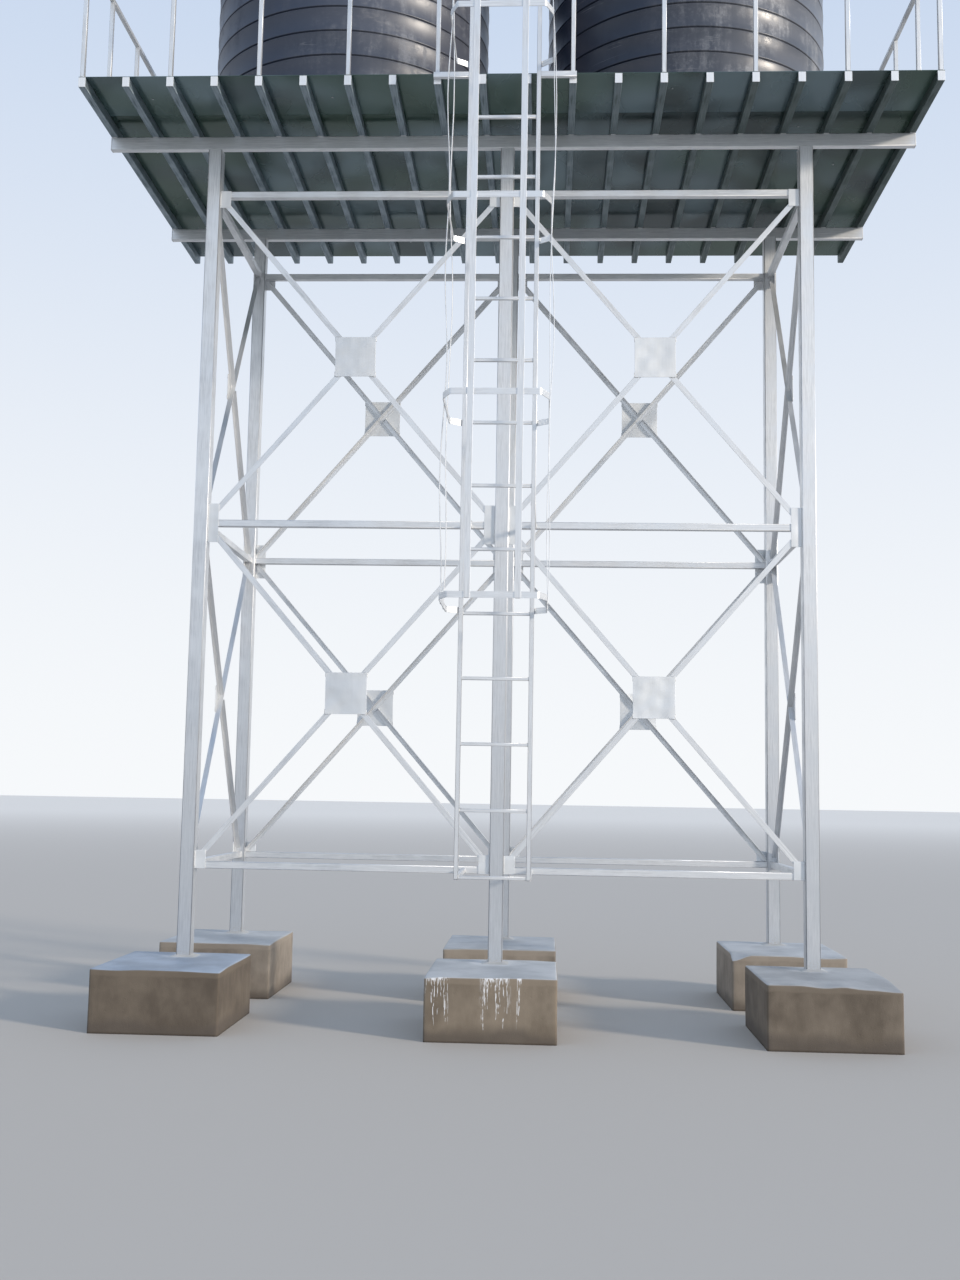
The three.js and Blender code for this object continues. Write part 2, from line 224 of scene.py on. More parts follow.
class Effects:
    """The shader node groups that several finishes share, each built once."""

    def __init__(self) -> None:
        """Builds the five effects."""
        self.streaks = self._streaks()
        self.dust = self._dust()
        self.runs = self._runs()
        self.grit = self._grit()
        self.scuffs = self._scuffs()

    def _start(
        self, name: str, inputs: Sequence[tuple[str, float]], outputs: Sequence[str]
    ) -> tuple[Wiring, bpy.types.Node, bpy.types.Node]:
        """Opens a group that takes a place and some values.

        Args:
            name: The group's name.
            inputs: Its value inputs, each with a default.
            outputs: The names of its values out.

        Returns:
            The wiring, the node that brings the inputs and the node that takes the outputs.
        """
        tree = bpy.data.node_groups.new(name, "ShaderNodeTree")
        wiring = Wiring(tree)
        tree.interface.new_socket("Place", in_out="INPUT", socket_type="NodeSocketVector")
        for label, value in inputs:
            made = tree.interface.new_socket(label, in_out="INPUT", socket_type="NodeSocketFloat")
            made.default_value = value
        for label in outputs:
            tree.interface.new_socket(label, in_out="OUTPUT", socket_type="NodeSocketFloat")
        return wiring, wiring.add("NodeGroupInput"), wiring.add("NodeGroupOutput")

    def _streaks(self) -> bpy.types.NodeTree:
        """Fine lines that run along Z, and broad soft patches.

        Returns:
            The finished node group.
        """
        inputs = (("Fineness", 80.0), ("Length", 12.0))
        wiring, given, result = self._start("brushed_streaks", inputs, ("Streaks", "Patches"))
        fine = given.outputs["Fineness"]
        along = wiring.reckon("DIVIDE", fine, given.outputs["Length"])
        factors = wiring.add("ShaderNodeCombineXYZ", {"X": fine, "Y": fine, "Z": along})
        place = wiring.stretched(given.outputs["Place"], factors.outputs[0])
        lines = wiring.noise(place, 1.0, 4.0, 0.6)
        wiring.join(wiring.spread(lines, 0.3, 0.7), result.inputs["Streaks"])
        patches = wiring.noise(given.outputs["Place"], 3.1, 3.0)
        wiring.join(wiring.spread(patches, 0.32, 0.68), result.inputs["Patches"])
        return wiring.tree

    def _dust(self) -> bpy.types.NodeTree:
        """Dust that lies on faces turned up, broken by noise.

        Returns:
            The finished node group.
        """
        inputs = (("Coarseness", 9.0), ("Amount", 0.5))
        wiring, given, result = self._start("settled_dust", inputs, ("Dust",))
        normal = wiring.add("ShaderNodeNewGeometry").outputs["Normal"]
        upward = wiring.axes(normal)["Z"]
        place = wiring.scaled(given.outputs["Place"], given.outputs["Coarseness"])
        broken = wiring.spread(wiring.noise(place, 1.0, 5.0, 0.65), 0.3, 0.75, 0.3)
        lying = wiring.times(wiring.spread(upward, 0.2, 0.95), broken)
        dust = wiring.times(lying, given.outputs["Amount"])
        wiring.join(dust, result.inputs["Dust"])
        return wiring.tree

    def _runs(self) -> bpy.types.NodeTree:
        """Thin runs that start at a height and dry at different lengths below it.

        Returns:
            The finished node group.
        """
        inputs = (("Top", 0.0), ("Longest", 0.3), ("Fineness", 60.0), ("Crowding", 0.5))
        wiring, given, result = self._start("dried_runs", inputs, ("Runs",))
        place = given.outputs["Place"]
        fall = wiring.minus(given.outputs["Top"], wiring.axes(place)["Z"])
        wander = wiring.times(wiring.noise(place, 9.0, 2.0), 0.022)
        flat = wiring.stretched(wiring.shifted(place, wander), (1.0, 1.0, 0.03))
        width = wiring.scaled(flat, given.outputs["Fineness"])
        limit = wiring.minus(0.80, wiring.times(given.outputs["Crowding"], 0.35))
        sharp = wiring.spread(wiring.minus(wiring.noise(width, 1.0, 1.0), limit), 0.0, 0.05)
        varied = wiring.spread(wiring.noise(width, 0.31, 1.0), 0.36, 0.66, 0.10, 1.0)
        reach = wiring.times(varied, given.outputs["Longest"])
        wet = wiring.spread(wiring.minus(reach, fall), -0.008, 0.012)
        gaps = wiring.noise(wiring.stretched(place, (150.0, 150.0, 26.0)), 1.0, 2.0)
        broken = wiring.larger(wiring.spread(gaps, 0.38, 0.52), wiring.spread(fall, 0.02, 0.05, 1.0, 0.0))
        fringe = wiring.spread(wiring.noise(width, 0.3, 3.0), 0.35, 0.7, 0.0, 0.03)
        edge = wiring.reckon("LESS_THAN", fall, fringe)
        runs = wiring.times(wiring.times(sharp, wet), broken)
        wiring.join(wiring.larger(runs, edge), result.inputs["Runs"])
        return wiring.tree

    def _scuffs(self) -> bpy.types.NodeTree:
        """Long thin rub marks that run nearly level, in a few places.

        Returns:
            The finished node group.
        """
        inputs = (("Coarseness", 2.0), ("Width", 0.006))
        wiring, given, result = self._start("rub_marks", inputs, ("Scuffs",))
        longer = wiring.stretched(given.outputs["Place"], (0.16, 0.16, 5.0))
        place = wiring.scaled(longer, given.outputs["Coarseness"])
        drift = wiring.minus(wiring.noise(place, 1.0, 0.0), 0.5)
        off = wiring.reckon("DIVIDE", wiring.reckon("ABSOLUTE", drift), given.outputs["Width"])
        line = wiring.spread(off, 0.4, 1.0, 1.0, 0.0)
        where = wiring.spread(wiring.noise(given.outputs["Place"], 3.1, 3.0), 0.54, 0.66)
        wiring.join(wiring.times(line, where), result.inputs["Scuffs"])
        return wiring.tree

    def _grit(self) -> bpy.types.NodeTree:
        """A rough surface's height: fine grit, and pits here and there.

        Returns:
            The finished node group.
        """
        inputs = (("Fineness", 200.0),)
        wiring, given, result = self._start("cast_grit", inputs, ("Height", "Pits"))
        place = wiring.scaled(given.outputs["Place"], given.outputs["Fineness"])
        wiring.join(wiring.noise(place, 1.0, 6.0, 0.7), result.inputs["Height"])
        cells = wiring.add("ShaderNodeTexVoronoi", {"Vector": place, "Scale": 0.12}).outputs["Distance"]
        wiring.join(wiring.spread(cells, 0.05, 0.16, 1.0, 0.0), result.inputs["Pits"])
        return wiring.tree


@dataclass(frozen=True)
class Finish:
    """One surface finish. Its kinds wire their own colour, roughness and relief."""

    name: str
    metallic: float = 0.0
    roughness: float = 0.5
    specular: float = 0.5

    def material(self, effects: Effects) -> bpy.types.Material:
        """The finish as a material, made the first time that it is asked for.

        Args:
            effects: The shared node groups.

        Returns:
            The material.
        """
        made = bpy.data.materials.get(self.name)
        if made is None:
            made = bpy.data.materials.new(self.name)
            made.use_nodes = True
            wiring = Wiring(made.node_tree)
            plain = {"Metallic": self.metallic, "Roughness": self.roughness,
                     "Specular IOR Level": self.specular}
            shader = wiring.add("ShaderNodeBsdfPrincipled", plain)
            output = wiring.add("ShaderNodeOutputMaterial")
            wiring.join(shader.outputs[0], output.inputs["Surface"])
            for socket, value in self.surface(wiring, effects).items():
                wiring.join(value, shader.inputs[socket])
        return made

    def surface(self, wiring: Wiring, effects: Effects) -> dict[str, Socket]:
        """What feeds the shader, by input name."""
        raise NotImplementedError

    def along_grain(self, wiring: Wiring) -> Socket:
        """The grain map's place, with the length of the bar on Z.

        Args:
            wiring: The material's nodes.

        Returns:
            The place.
        """
        flat = wiring.add("ShaderNodeUVMap", uv_map=GRAIN_MAP).outputs[0]
        turn = (math.pi / 2, 0.0, 0.0)
        return wiring.add("ShaderNodeMapping", {"Vector": flat, "Rotation": turn}).outputs[0]

    def object_place(self, wiring: Wiring) -> Socket:
        """The place on the object, in metres."""
        return wiring.add("ShaderNodeTexCoord").outputs["Object"]


@dataclass(frozen=True)
class SilverPaint(Finish):
    """Aluminium paint put on with a brush: long lines, soft patches, dust on ledges."""

    metallic: float = 0.78
    pale: Colour = (0.80, 0.81, 0.82)
    dull: Colour = (0.63, 0.645, 0.66)
    dust_colour: Colour = (0.46, 0.43, 0.39)
    smoothest: float = 0.39
    roughest: float = 0.56
    fineness: float = 95.0
    brush_length: float = 16.0  # of a brush line, in its own widths
    relief: float = 0.2
    relief_depth: float = 0.0006
    splash_colour: Colour = (0.54, 0.52, 0.48)
    foot: float = 0.42
    splash_top: float = 0.0  # height up to which cement has splashed, 0 for none
    splash_crowding: float = 0.24  # how much closer the splashes lie at the foot
    splash_share: float = 0.7
    # A darker film: near the foot it is partly dirt and partly a painted reflection of the dark ground; at
    # the right it is painted shade.
    dirt_and_shade_colour: Colour = (0.40, 0.43, 0.47)
    dirt_and_shade_top: float = 4.2  # height up to which that darker film lies over the foot
    dirt_and_shade_share: float = 0.46  # of that film at the foot
    right_painted_shade: float = 0.0  # share of painted shade at the tower's right, none at its left
    right_shade_band: tuple[float, float] = (-0.9, 2.2)  # where along X that share rises
    dents: float = 0.0  # depth of broad dents in thin plate

    def surface(self, wiring: Wiring, effects: Effects) -> dict[str, Socket]:
        """Brush lines in colour, gloss and relief.

        Args:
            wiring: The material's nodes.
            effects: The shared node groups.

        Returns:
            What feeds the shader, by input name.
        """
        grain = self.along_grain(wiring)
        place = self.object_place(wiring)
        feeds = {"Place": grain, "Fineness": self.fineness, "Length": self.brush_length}
        brush = wiring.effect(effects.streaks, feeds)
        lines, patches = brush["Streaks"], brush["Patches"]
        worn = wiring.times(lines, wiring.spread(patches, 0.0, 1.0, 0.35, 1.0))
        paint = wiring.blend(worn, self.pale, self.dull)
        feeds = {"Place": place, "Coarseness": 7.0, "Amount": 0.4}
        dust = wiring.effect(effects.dust, feeds)["Dust"]
        gloss = wiring.spread(patches, 0.0, 1.0, self.smoothest, self.roughest)
        colour = wiring.blend(dust, paint, self.dust_colour)
        # Cement splashes, and a film that darkens towards the foot, partly dirt and partly a painted
        # reflection of the dark ground.
        if self.splash_top:
            height = wiring.axes(place)["Z"]
            film = wiring.spread(height, self.foot, self.dirt_and_shade_top, self.dirt_and_shade_share, 0.0)
            colour = wiring.blend(film, colour, self.dirt_and_shade_colour)
            low = wiring.spread(height, self.foot, self.splash_top, self.splash_crowding, 0.0)
            spots = wiring.plus(wiring.noise(place, 130.0, 3.0, 0.6), low)
            splashed = wiring.times(wiring.spread(spots, 0.72, 0.86), self.splash_share)
            colour = wiring.blend(splashed, colour, self.splash_colour)
        # Painted shade: darker towards the tower's right.
        if self.right_painted_shade:
            film = wiring.spread(wiring.axes(place)["X"], *self.right_shade_band, 0.0, self.right_painted_shade)
            colour = wiring.blend(film, colour, self.dirt_and_shade_colour)
        relief = wiring.bump(lines, self.relief_depth, self.relief)
        if self.dents:
            relief = wiring.bump(wiring.noise(place, 5.5, 1.0), self.dents, 0.5, relief)
        return {
            "Base Color": colour,
            "Roughness": wiring.plus(gloss, wiring.times(lines, 0.06)),
            "Normal": relief,
        }


@dataclass(frozen=True)
class WeldBead(Finish):
    """Weld metal under the same paint, thicker and paler."""

    metallic: float = 0.55
    pale: Colour = (0.74, 0.75, 0.76)
    dull: Colour = (0.52, 0.53, 0.54)

    def surface(self, wiring: Wiring, effects: Effects) -> dict[str, Socket]:
        """Lumpy paint with darker hollows.

        Args:
            wiring: The material's nodes.
            effects: The shared node groups.

        Returns:
            What feeds the shader, by input name.
        """
        place = self.object_place(wiring)
        grit = wiring.effect(effects.grit, {"Place": place, "Fineness": 320.0})
        return {
            "Base Color": wiring.blend(grit["Height"], self.dull, self.pale),
            "Roughness": wiring.spread(grit["Height"], 0.2, 0.8, 0.42, 0.62),
            "Normal": wiring.bump(grit["Height"], 0.001, 0.6),
        }


@dataclass(frozen=True)
class DeckSteel(Finish):
    """Dark sheet steel, darker partly as painted shade under the deck, a little unlike from one field
    between joists to the next. The field tints and clouds are partly painted reflection of unevenly bent
    sheets, with painted shade behind the seam and to the right, a painted lighter front strip, and green
    patches of painted reflection of greenery.
    """

    metallic: float = 0.45
    dark: Colour = (0.018, 0.038, 0.040)
    light: Colour = (0.158, 0.232, 0.262)
    # green of a painted reflection of greenery
    greenery_reflection: Colour = (0.036, 0.084, 0.048)
    dust_colour: Colour = (0.22, 0.195, 0.165)
    field_width: float = 0.3132
    seam: float = -0.6825
    field_share: float = 0.26  # of the tint that a whole field has, partly painted reflection
    cloud_share: float = 0.62  # of the tint in broad clouds, partly painted reflection
    scale_share: float = 0.12  # of the tint in the mill scale
    painted_front_light: tuple[float, float] = (-0.24, -0.12)  # painted light on the front strip, most at the deck's front edge and less at the seam
    painted_seam_shade: float = 0.46  # painted shade just behind the seam
    painted_shade_at_right: float = 0.34  # painted shade at the deck's right end
    greenery_reflection_share: float = 0.7

    def surface(self, wiring: Wiring, effects: Effects) -> dict[str, Socket]:
        """Field by field tint, cloudy mill scale and dust on top, with painted light, shade and reflection.

        Args:
            wiring: The material's nodes.
            effects: The shared node groups.

        Returns:
            What feeds the shader, by input name.
        """
        place = self.object_place(wiring)
        spot = wiring.axes(place)
        across = wiring.plus(wiring.reckon("DIVIDE", spot["X"], self.field_width), 0.5)
        past = wiring.minus(spot["Y"], self.seam)
        behind = wiring.reckon("GREATER_THAN", past, 0.0)
        feeds = {"X": wiring.reckon("FLOOR", across), "Y": behind}
        fields = wiring.add("ShaderNodeCombineXYZ", feeds).outputs[0]
        chance = wiring.add("ShaderNodeTexWhiteNoise", {"Vector": fields}, noise_dimensions="3D").outputs[0]
        spaced = wiring.shifted(wiring.stretched(place, (1.9, 1.5, 1.0)), wiring.scaled(fields, 3.7))
        clouds = wiring.spread(wiring.noise(spaced, 1.0, 1.0), 0.36, 0.64)
        feeds = {"Place": wiring.stretched(place, (0.75, 0.35, 1.0)), "Fineness": 30.0, "Length": 1.0}
        scale = wiring.effect(effects.streaks, feeds)
        mixed = wiring.plus(wiring.times(chance, self.field_share), wiring.times(clouds, self.cloud_share))
        mixed = wiring.plus(mixed, wiring.times(scale["Patches"], self.scale_share))
        # Painted light on the front strip, painted shade behind the seam and towards the right.
        near = wiring.times(wiring.spread(past, -0.5, 0.0, *self.painted_front_light), wiring.minus(1.0, behind))
        far = wiring.times(wiring.spread(past, 0.0, 0.26, self.painted_seam_shade, 0.0), behind)
        shade = wiring.plus(near, far)
        shade = wiring.plus(shade, wiring.spread(spot["X"], -0.5, 2.4, 0.0, self.painted_shade_at_right))
        steel = wiring.blend(wiring.larger(wiring.minus(mixed, shade), 0.0), self.dark, self.light)
        # Green patches: painted reflection of greenery.
        green = wiring.noise(wiring.stretched(place, (0.55, 0.9, 1.0)), 1.0, 1.0)
        steel = wiring.blend(wiring.spread(green, 0.42, 0.62, 0.0, self.greenery_reflection_share), steel, self.greenery_reflection)
        feeds = {"Place": place, "Coarseness": 3.0, "Amount": 0.75}
        dust = wiring.effect(effects.dust, feeds)["Dust"]
        waves = wiring.noise(wiring.stretched(place, (2.2, 1.1, 1.0)), 1.0, 1.0)
        gloss = wiring.spread(scale["Patches"], 0.0, 1.0, 0.16, 0.30)
        return {
            "Base Color": wiring.blend(dust, steel, self.dust_colour),
            "Roughness": wiring.plus(gloss, wiring.times(dust, 2.0)),
            "Metallic": wiring.spread(dust, 0.0, 0.3, self.metallic, 0.0),
            "Normal": wiring.bump(waves, 0.05, 0.40),
        }


@dataclass(frozen=True)
class Concrete(Finish):
    """Cast concrete with a smooth screed on top, and spilled paint round the column."""

    side_dark: Colour = (0.142, 0.114, 0.084)
    side_light: Colour = (0.248, 0.205, 0.156)
    top_dark: Colour = (0.350, 0.366, 0.380)
    top_light: Colour = (0.490, 0.506, 0.520)
    damp: Colour = (0.085, 0.070, 0.058)
    paint: Colour = (0.700, 0.705, 0.715)
    spill: float = 0.35
    spill_radius: float = 0.16
    runs: tuple[tuple[float, float], ...] = ()  # middle and half width of each group of paint runs
    spill_edge: float = 0.12  # how far outside that radius it thins out
    longest_run: float = 0.34
    pad_height: float = 0.42
    screed: float = 0.045  # depth of the paler layer under the top
    screed_share: float = 0.55
    damp_rise: float = 0.09  # height that damp climbs to
    damp_share: float = 0.75

    def surface(self, wiring: Wiring, effects: Effects) -> dict[str, Socket]:
        """Screed on top, stained sides, damp at the foot, paint where it was spilled.

        Args:
            wiring: The material's nodes.
            effects: The shared node groups.

        Returns:
            What feeds the shader, by input name.
        """
        place = self.object_place(wiring)
        facing = wiring.axes(wiring.add("ShaderNodeNewGeometry").outputs["Normal"])
        height = wiring.axes(place)["Z"]
        upward = wiring.spread(facing["Z"], 0.35, 0.8)
        stain = wiring.effect(effects.streaks, {"Place": place, "Fineness": 13.0, "Length": 2.2})
        grit = wiring.effect(effects.grit, {"Place": place, "Fineness": 150.0})
        mixed = wiring.plus(wiring.times(stain["Streaks"], 0.35), wiring.times(stain["Patches"], 0.65))
        side = wiring.blend(mixed, self.side_dark, self.side_light)
        depth = wiring.plus(wiring.minus(self.pad_height, height), wiring.times(stain["Streaks"], 0.012))
        screed = wiring.spread(depth, self.screed, self.screed + 0.016, self.screed_share, 0.0)
        side = wiring.blend(screed, side, self.side_light)
        rising = wiring.plus(height, wiring.times(stain["Patches"], -0.06))
        wet = wiring.spread(rising, 0.0, self.damp_rise, self.damp_share, 0.0)
        side = wiring.blend(wet, side, self.damp)
        top = wiring.blend(stain["Patches"], self.top_light, self.top_dark)
        cast = wiring.blend(upward, side, top)
        spilled = self._spilled(wiring, effects, place, upward, facing)
        return {
            "Base Color": wiring.blend(spilled, cast, self.paint),
            "Roughness": wiring.spread(upward, 0.0, 1.0, 0.88, 0.52),
            "Normal": wiring.bump(grit["Height"], 0.004, 0.35,
                                  wiring.bump(grit["Pits"], -0.003, 0.25)),
        }

    def _spilled(self, wiring: Wiring, effects: Effects, place: Socket, upward: Socket,
                 facing: bpy.types.NodeOutputs) -> Socket:
        """Where spilled paint covers the cast.

        Args:
            wiring: The material's nodes.
            effects: The shared node groups.
            place: The place on the object.
            upward: 1 on the pad's top.
            facing: The X, Y and Z of the surface's normal.

        Returns:
            The paint's share, from 0 to 1.
        """
        flat = wiring.add("ShaderNodeUVMap", uv_map=GRAIN_MAP).outputs[0]
        ragged = wiring.plus(wiring.length(flat), wiring.times(wiring.noise(flat, 11.0, 4.0), 0.16))
        edge = self.spill_radius + self.spill_edge
        around = wiring.times(wiring.spread(ragged, self.spill_radius, edge, self.spill, 0.0), upward)
        if not self.runs:
            return around
        feeds = {"Place": place, "Top": self.pad_height, "Longest": self.longest_run,
                 "Fineness": 170.0, "Crowding": 0.86}
        runs = wiring.effect(effects.runs, feeds)["Runs"]
        across = wiring.axes(flat)["X"]
        where = 0.0
        for centre, half in self.runs:
            off = wiring.reckon("ABSOLUTE", wiring.minus(across, centre))
            where = wiring.larger(wiring.spread(off, half * 0.6, half, 1.0, 0.0), where)
        ahead = wiring.spread(facing["Y"], -0.8, -0.5, 1.0, 0.0)
        down = wiring.times(wiring.times(runs, where), ahead)
        return wiring.larger(around, down)


@dataclass(frozen=True)
class BlackPlastic(Finish):
    """Black moulded plastic, bluish as a painted reflection of sky, with dust washed down it in streaks;
    dust and smears grow thicker to its right as a painted sheen, leaving the left darker as painted shade.
    """

    specular: float = 0.8
    # The black and the washed dust are tinted blue as a painted reflection of sky.
    black: Colour = (0.008, 0.014, 0.032)
    washed: Colour = (0.100, 0.120, 0.172)
    dust_colour: Colour = (0.24, 0.22, 0.195)
    scuff_colour: Colour = (0.30, 0.30, 0.31)
    film: float = 0.5  # how much of the washed-down dust is left
    foot: float = 6.554  # height that the tank stands on
    centre: float = 0.0  # the tank's place along X
    painted_shade_dust_share: float = 0.4  # share of the dust on its left side, kept low as painted shade
    painted_sheen_band: tuple[float, float] = (-0.9, 0.5)  # where that share rises to all of it, from the centre, as a painted sheen to the right
    gloss: tuple[float, float] = (0.30, 0.58)  # roughness of the clean and of the worn skin
    low_reach: float = 0.22  # height over its foot that splashed dust reaches
    low_share: float = 0.34
    smear_share: float = 0.32
    scuff_share: float = 0.45

    def surface(self, wiring: Wiring, effects: Effects) -> dict[str, Socket]:
        """Dust streaks and scuffs over a satin skin, with painted sheen on the right and painted shade on
        the left.

        Args:
            wiring: The material's nodes.
            effects: The shared node groups.

        Returns:
            What feeds the shader, by input name.
        """
        place = self.object_place(wiring)
        wash = wiring.effect(effects.streaks, {"Place": place, "Fineness": 17.0, "Length": 6.0})
        speckle = wiring.spread(wiring.noise(place, 34.0, 5.0, 0.7), 0.42, 0.74)
        worn = wiring.times(wiring.plus(wash["Streaks"], speckle), wash["Patches"])
        spot = wiring.axes(place)
        start, stop = (self.centre + edge for edge in self.painted_sheen_band)
        # Painted sheen: more dust and smears to the right, fewer to the left as painted shade.
        side = wiring.spread(spot["X"], start, stop, self.painted_shade_dust_share, 1.0)
        film = wiring.times(wiring.times(wiring.spread(worn, 0.0, 1.6, 0.22, 0.66), side), self.film)
        skin = wiring.blend(film, self.black, self.washed)
        low = wiring.spread(spot["Z"], self.foot, self.foot + self.low_reach, self.low_share, 0.0)
        skin = wiring.blend(wiring.times(low, wash["Streaks"]), skin, self.dust_colour)
        smears = wiring.noise(wiring.stretched(place, (1.0, 1.0, 2.2)), 3.6, 6.0, 0.7)
        smears = wiring.spread(smears, 0.56, 0.76)
        smeared = wiring.times(wiring.times(smears, side), self.smear_share)
        skin = wiring.blend(smeared, skin, self.scuff_colour)
        feeds = {"Place": place, "Coarseness": 5.0, "Amount": 0.55}
        dust = wiring.effect(effects.dust, feeds)["Dust"]
        feeds = {"Place": place, "Coarseness": 1.6, "Width": 0.005}
        scuffs = wiring.effect(effects.scuffs, feeds)["Scuffs"]
        skin = wiring.blend(wiring.times(scuffs, self.scuff_share), skin, self.scuff_colour)
        waves = wiring.noise(wiring.stretched(place, (2.6, 2.6, 1.4)), 1.0, 2.0)
        peel = wiring.noise(place, 260.0, 2.0)
        gloss = wiring.spread(wiring.plus(worn, smears), 0.0, 1.5, *self.gloss)
        return {
            "Base Color": wiring.blend(dust, skin, self.dust_colour),
            "Roughness": wiring.plus(gloss, wiring.times(dust, 0.5)),
            "Normal": wiring.bump(waves, 0.03, 0.15, wiring.bump(peel, 0.0004, 0.12)),
        }


@dataclass(frozen=True)
class FloorPaint(Finish):
    """The pale floor, paler far from the tower as painted light."""

    roughness: float = 1.0
    specular: float = 0.05
    near: Colour = (0.530, 0.492, 0.445)
    far: Colour = (0.80, 0.755, 0.69)
    reach: tuple[float, float] = (12.0, 90.0)  # from the tower, where it turns from one to the other

    def surface(self, wiring: Wiring, effects: Effects) -> dict[str, Socket]:
        """A pale tone that turns paler with the distance from the tower, as painted light."""
        away = wiring.length(self.object_place(wiring))
        return {"Base Color": wiring.blend(wiring.spread(away, *self.reach), self.near, self.far)}


def curve_through(points: Sequence[tuple[float, float]], parts: int) -> list[tuple[float, float]]:
    """Points along a smooth curve.

    Args:
        points: The places that the curve passes through.
        parts: How many stretches it has from one of them to the next.

    Returns:
        The places on the curve, from the first point to the last.
    """
    knots = [Vector(point) for point in (points[0], *points, points[-1])]
    line = []
    for before, start, stop, after in zip(knots, knots[1:], knots[2:], knots[3:]):
        for share in (number / parts for number in range(parts)):
            spot = start + share / 2 * (stop - before)
            spot += share ** 2 / 2 * (2 * before - 5 * start + 4 * stop - after)
            spot += share ** 3 / 2 * (3 * start - before - 3 * stop + after)
            line.append(tuple(spot))
    return [*line, points[-1]]


def round_off(part: bmesh.types.BMesh, edges: Sequence[bmesh.types.BMEdge], radius: float, steps: int,
              clamp: bool = False) -> list[bmesh.types.BMFace]:
    """Rounds some edges of a part.

    Args:
        part: The part.
        edges: The edges to round.
        radius: How far from the edge the rounding starts.
        steps: Faces round each edge.
        clamp: Stops the rounding where it would meet another.

    Returns:
        The new faces.
    """
    rounded = bmesh.ops.bevel(part, geom=edges, offset=radius, offset_type="OFFSET", segments=steps,
                              profile=0.5, affect="EDGES", material=-1, clamp_overlap=clamp)
    return rounded["faces"]


def slide_new(part: bmesh.types.BMesh, grown: dict[str, list], way: Sequence[float]) -> None:
    """Moves the points that an extrusion of a part has just added."""
    fresh = [item for item in grown["geom"] if isinstance(item, bmesh.types.BMVert)]
    bmesh.ops.translate(part, verts=fresh, vec=way)


def shade_smooth(part: bmesh.types.BMesh) -> None:
    """Shades every face of a part smooth."""
    for face in part.faces:
        face.smooth = True


def runs_along(edge: bmesh.types.BMEdge, way: Vector = UP) -> bool:
    """True for an edge along a direction, or else along its part's own Z."""
    run = edge.verts[0].co - edge.verts[1].co
    return abs(run.dot(way)) > run.length * 0.99


def put(name: str, data: bpy.types.ID) -> bpy.types.Object:
    """Puts a new object in the scene.

    Args:
        name: The object's name.
        data: Its mesh, light or camera.

    Returns:
        The object.
    """
    made = bpy.data.objects.new(name, data)
    bpy.context.scene.collection.objects.link(made)
    return made


@dataclass(frozen=True)
class Cut:
    """A plane that trims a bar. What lies on the side that the normal points to goes."""

    point: Vector
    normal: Vector


SILVER = SilverPaint("silver_paint")
# The columns darken towards the foot, partly with dirt and partly with a painted reflection of the dark
# ground.
COLUMN_PAINT = SilverPaint("column_paint", splash_top=0.62)
CAP_PAINT = SilverPaint("cap_paint", metallic=0.4, pale=(0.80, 0.82, 0.84), dull=(0.68, 0.70, 0.72))
# The joists' paint is far darker than the columns' as painted shade and a painted reflection of the dark
# ground under the deck, and darker still to the right as painted shade.
SHADED_JOIST_PAINT = SilverPaint("dull_galvanised", metallic=0.6, pale=(0.300, 0.365, 0.410),
                         dull=(0.120, 0.160, 0.180), dust_colour=(0.16, 0.15, 0.13),
                         dirt_and_shade_colour=(0.050, 0.070, 0.055), right_painted_shade=0.75)
FRAME_WELD = WeldBead("painted_weld")
DECK = DeckSteel("dark_deck_steel")
PLATE_PAINT = SilverPaint("plate_paint", metallic=0.45, pale=(0.75, 0.77, 0.785), dull=(0.70, 0.72, 0.735),
                          smoothest=0.46, roughest=0.60, fineness=24.0, relief=0.06, dents=0.05)
# The back pads' paler sides are partly painted sunlight. The front-left pad has darker sides and a blue-grey
# top of painted skylit shade. The front-right pad's darker sides are painted shade, and its top is darker
# too.
CAST = Concrete("cast_concrete", side_dark=(0.190, 0.160, 0.130), side_light=(0.330, 0.285, 0.235))
DARKER_CAST_SKY_SHADED_TOP = Concrete("darker_cast_concrete_painted_sky_shade", side_dark=(0.088, 0.070, 0.053), side_light=(0.160, 0.131, 0.100),
                     top_dark=(0.240, 0.284, 0.346), top_light=(0.338, 0.398, 0.480))
SHADOWED_CAST = Concrete("cast_concrete_painted_shade", side_dark=(0.100, 0.080, 0.060), side_light=(0.190, 0.157, 0.122),
                     top_dark=(0.290, 0.295, 0.300), top_light=(0.406, 0.412, 0.414))
CAST_PAINTED = Concrete("cast_concrete_with_paint_runs", spill=0.6, spill_radius=0.2,
                        runs=((-0.35, 0.09), (0.03, 0.11), (0.185, 0.018)))
CEMENT = Concrete("cement_collar", side_dark=(0.42, 0.42, 0.41), side_light=(0.58, 0.58, 0.57),
                  top_dark=(0.42, 0.42, 0.41), top_light=(0.58, 0.58, 0.57), spill=0.0)
PAD_FINISHES = {"pad_front_left": DARKER_CAST_SKY_SHADED_TOP, "pad_front_middle": CAST_PAINTED, "pad_front_right": SHADOWED_CAST}
# Both tanks' black is tinted blue as a painted sky reflection, and their dust thins to the left as painted
# shade; the right tank's paler dust is partly painted sheen.
BLACK = {"left": BlackPlastic("black_plastic", specular=0.65, film=0.85, centre=-1.30,
                              black=(0.007, 0.015, 0.040), washed=(0.330, 0.340, 0.365), painted_shade_dust_share=0.1,
                              painted_sheen_band=(-0.6, 0.45), gloss=(0.38, 0.62)),
         "right": BlackPlastic("dusty_black_plastic", specular=0.5, film=1.0, centre=1.39,
                               washed=(0.430, 0.438, 0.458), painted_shade_dust_share=0.02, painted_sheen_band=(-0.6, 0.55))}


